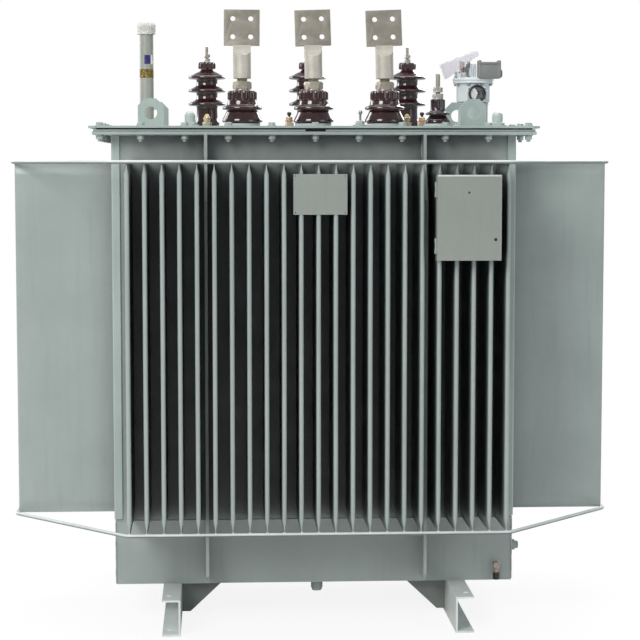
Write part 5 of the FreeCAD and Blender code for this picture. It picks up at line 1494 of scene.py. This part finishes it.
def door_fittings():
    """Turned-over lip along the door's top edge, whose pale enamel is a painted highlight, and the small
    plug near its middle.
    """
    high = low_high("terminal_box_door")[1]
    front = joint_place("box_door_swing").y - 1.0 * MM
    left = high.x - 172 * MM
    # the lip strip is paler than the door: a painted highlight along its top edge
    lip = Shell()
    lip.block((left + 0.5 * MM, front - 1.6 * MM, high.z - 4.5 * MM),
              (high.x - 0.5 * MM, front + 0.8 * MM, high.z - 0.1 * MM), 1.1 * MM)
    lip.piece("box_door_lip", "lip", "box_door", (), 30)
    plug = Shell()
    spot = Vector((left + 84.4 * MM, front, high.z - 47 * MM))
    plug.lathe([(0.5, -1), (1.6, -1), (1.6, 0.4, 0.2), (2.6, 0.6, 0.2), (2.6, 1.2, 0.5), (0.8, 1.6, 0.2),
                (0.5, 1.2)], spot, 24, axis=FORWARD)
    plug.piece("box_door_plug", "black", "box_door", (), 30)


# ---------------------------------------------------------------- carried-over nodes
CARRIED = {
    # the rail look is painted light and the gusset look painted shade on the tank enamel
    "skid_rails": ("rail", 0.8), "skid_gussets": ("gusset", 0.8), "tank_base": ("paint", 1.2),
    "tank_stiffeners": ("paint", 0.8), "corner_posts": ("cover", 1.2), "tank_flange": ("cover", 0.8),
    "cover_gasket": ("rubber", 0.6), "gasket_stop_bars": ("cover", 0.8), "cover_plate": ("cover", 1.0),
    "cover_washers": ("lug", 0.3), "lifting_lugs": ("lug", 1.0), "bushing_bosses": ("fitting", 0.8),
    "bushing_seals": ("rubber", 0.4), "filler_cap_seal": ("rubber", 0.3), "level_float": ("brass", 0.3),
    "thermometer_pockets": ("fitting", 0.5), "relief_valve_body": ("lug", 0.5),
    "tap_changer_body": ("lug", 0.5), "tap_changer_knob": ("black",
                                                           1.0), "tap_changer_contacts": ("copper", 0.5),
    "nameplate_carrier": ("plate", 0.4), "terminal_box": ("plate", 0.4), "terminal_box_door": ("plate", 0.5),
    "door_latch": ("black", 0.3), "transformer_core": ("core", 1.0), "core_clamps": ("primer", 1.0),
    "lv_windings": ("copper", 1.5), "hv_windings": ("coil", 1.5), "internal_leads": ("copper", 0.6),
}


def carried_nodes():
    """Gives every node that stays its finish and a small rounding on its edges."""
    for node, (look, bevel) in CARRIED.items():
        item = frame["nodes"][node]
        item.data.materials.clear()
        item.data.materials.append(LOOKS[look])
        soft = item.modifiers.new("soft_edges", "BEVEL")
        soft.width = bevel * MM
        soft.segments = 2
        soft.limit_method = "ANGLE"
        soft.angle_limit = math.radians(40)
        soft.harden_normals = False


# ---------------------------------------------------------------- studio
BACKDROP = (1.0, 1.0, 1.0, 1.0)


def studio():
    """Pale floor that fades into the backdrop, soft lights and the camera."""
    studio_floor()
    studio_world()
    studio_lamps()
    studio_camera()


def studio_floor():
    """A large pale floor that fades into the backdrop away from the object."""
    mesh = bpy.data.meshes.new("floor")
    reach = 40.0
    edge = [(-reach, -reach, 0), (reach, -reach, 0), (reach, reach, 0), (-reach, reach, 0)]
    mesh.from_pydata(edge, [], [(0, 1, 2, 3)])
    floor = bpy.data.objects.new("floor", mesh)
    bpy.context.scene.collection.objects.link(floor)
    look = Look("studio_floor", 0.7)
    tone = look.ramp(look.noise(1.5, 3.0, 0.5), 0.3, 0.7)
    look.set("Base Color", look.mix(tone, (0.86, 0.86, 0.86), (0.89, 0.89, 0.89)))
    glow = look.node("ShaderNodeEmission")
    glow.inputs["Color"].default_value = BACKDROP
    length = look.node("ShaderNodeVectorMath", operation="LENGTH")
    look.link(look.place, length.inputs[0])
    fade = look.ramp(length.outputs["Value"], 0.5, 1.7, 0.88, 1.0)
    ray = look.node("ShaderNodeLightPath")
    fade = look.maths("MULTIPLY", fade, ray.outputs["Is Camera Ray"])
    blend = look.node("ShaderNodeMixShader")
    out = [n for n in look.tree.nodes if n.type == "OUTPUT_MATERIAL"][0]
    look.link(fade, blend.inputs[0])
    look.link(look.shader.outputs[0], blend.inputs[1])
    look.link(glow.outputs[0], blend.inputs[2])
    look.link(blend.outputs[0], out.inputs[0])
    floor.data.materials.append(look.material)


def studio_world():
    """A white backdrop for the camera and a soft bluish light for everything else."""
    world = bpy.data.worlds.new("studio_world")
    bpy.context.scene.world = world
    world.use_nodes = True
    tree = world.node_tree
    tree.nodes.clear()
    out = tree.nodes.new("ShaderNodeOutputWorld")
    seen = tree.nodes.new("ShaderNodeBackground")
    seen.inputs[0].default_value = BACKDROP
    soft = tree.nodes.new("ShaderNodeBackground")
    soft.inputs[0].default_value = (0.90, 0.95, 1.0, 1)
    soft.inputs[1].default_value = 0.42
    path = tree.nodes.new("ShaderNodeLightPath")
    blend = tree.nodes.new("ShaderNodeMixShader")
    tree.links.new(path.outputs["Is Camera Ray"], blend.inputs[0])
    tree.links.new(soft.outputs[0], blend.inputs[1])
    tree.links.new(seen.outputs[0], blend.inputs[2])
    tree.links.new(blend.outputs[0], out.inputs[0])


def studio_lamps():
    """Large soft lamps, all aimed at the middle of the tank."""
    lamps = (("key", (-3.4, -5.0, 4.4), 3.0, 330, (1.0, 0.985, 0.96)),
             ("fill", (4.2, -3.6, 2.6), 2.6, 42, (0.95, 0.98, 1.0)),
             ("top", (0.0, 0.6, 4.6), 3.2, 130, (1.0, 1.0, 1.0)),
             ("back", (2.6, 4.6, 3.4), 2.6, 150, (1.0, 1.0, 1.0)),
             ("back_left", (-4.0, 3.4, 3.0), 2.6, 120, (1.0, 1.0, 1.0)))
    for name, place, size, power, colour in lamps:
        light = bpy.data.lights.new(name, "AREA")
        light.size = size
        light.energy = power
        light.color = colour
        lamp = bpy.data.objects.new(name, light)
        aim = Vector((0, 0, 0.9)) - Vector(place)
        lamp.matrix_world = facing(-aim, place)
        bpy.context.scene.collection.objects.link(lamp)


def studio_camera():
    """The camera at the photograph's angle, and plain tones for the picture."""
    data = bpy.data.cameras.new("camera")
    data.lens = 106.2
    data.sensor_width = 36.0
    data.clip_end = 200
    camera = bpy.data.objects.new("camera", data)
    camera.location = (-0.272, -5.514, 1.291)
    camera.rotation_euler = (math.radians(90 - 4.85), 0.0, math.radians(-3.12))
    bpy.context.scene.collection.objects.link(camera)
    bpy.context.scene.camera = camera
    settings = bpy.context.scene.view_settings
    settings.view_transform = "Standard"
    settings.look = "None"


# ---------------------------------------------------------------- build everything
for wall_side in ("front", "back"):
    finned_wall(wall_side, LONG_FIN_COUNT)
for wall_side in ("left", "right"):
    finned_wall(wall_side, END_FIN_COUNT)
tie_rods()
tank_welds()
cover_welds()
cover_bolts()
lv_bushings()
lv_terminals()
hv_bushings()
filler()
pockets()
vents()
relief_stem()
gas_relay()
sampling_valve()
wall_plugs()
door_fittings()
carried_nodes()
studio()
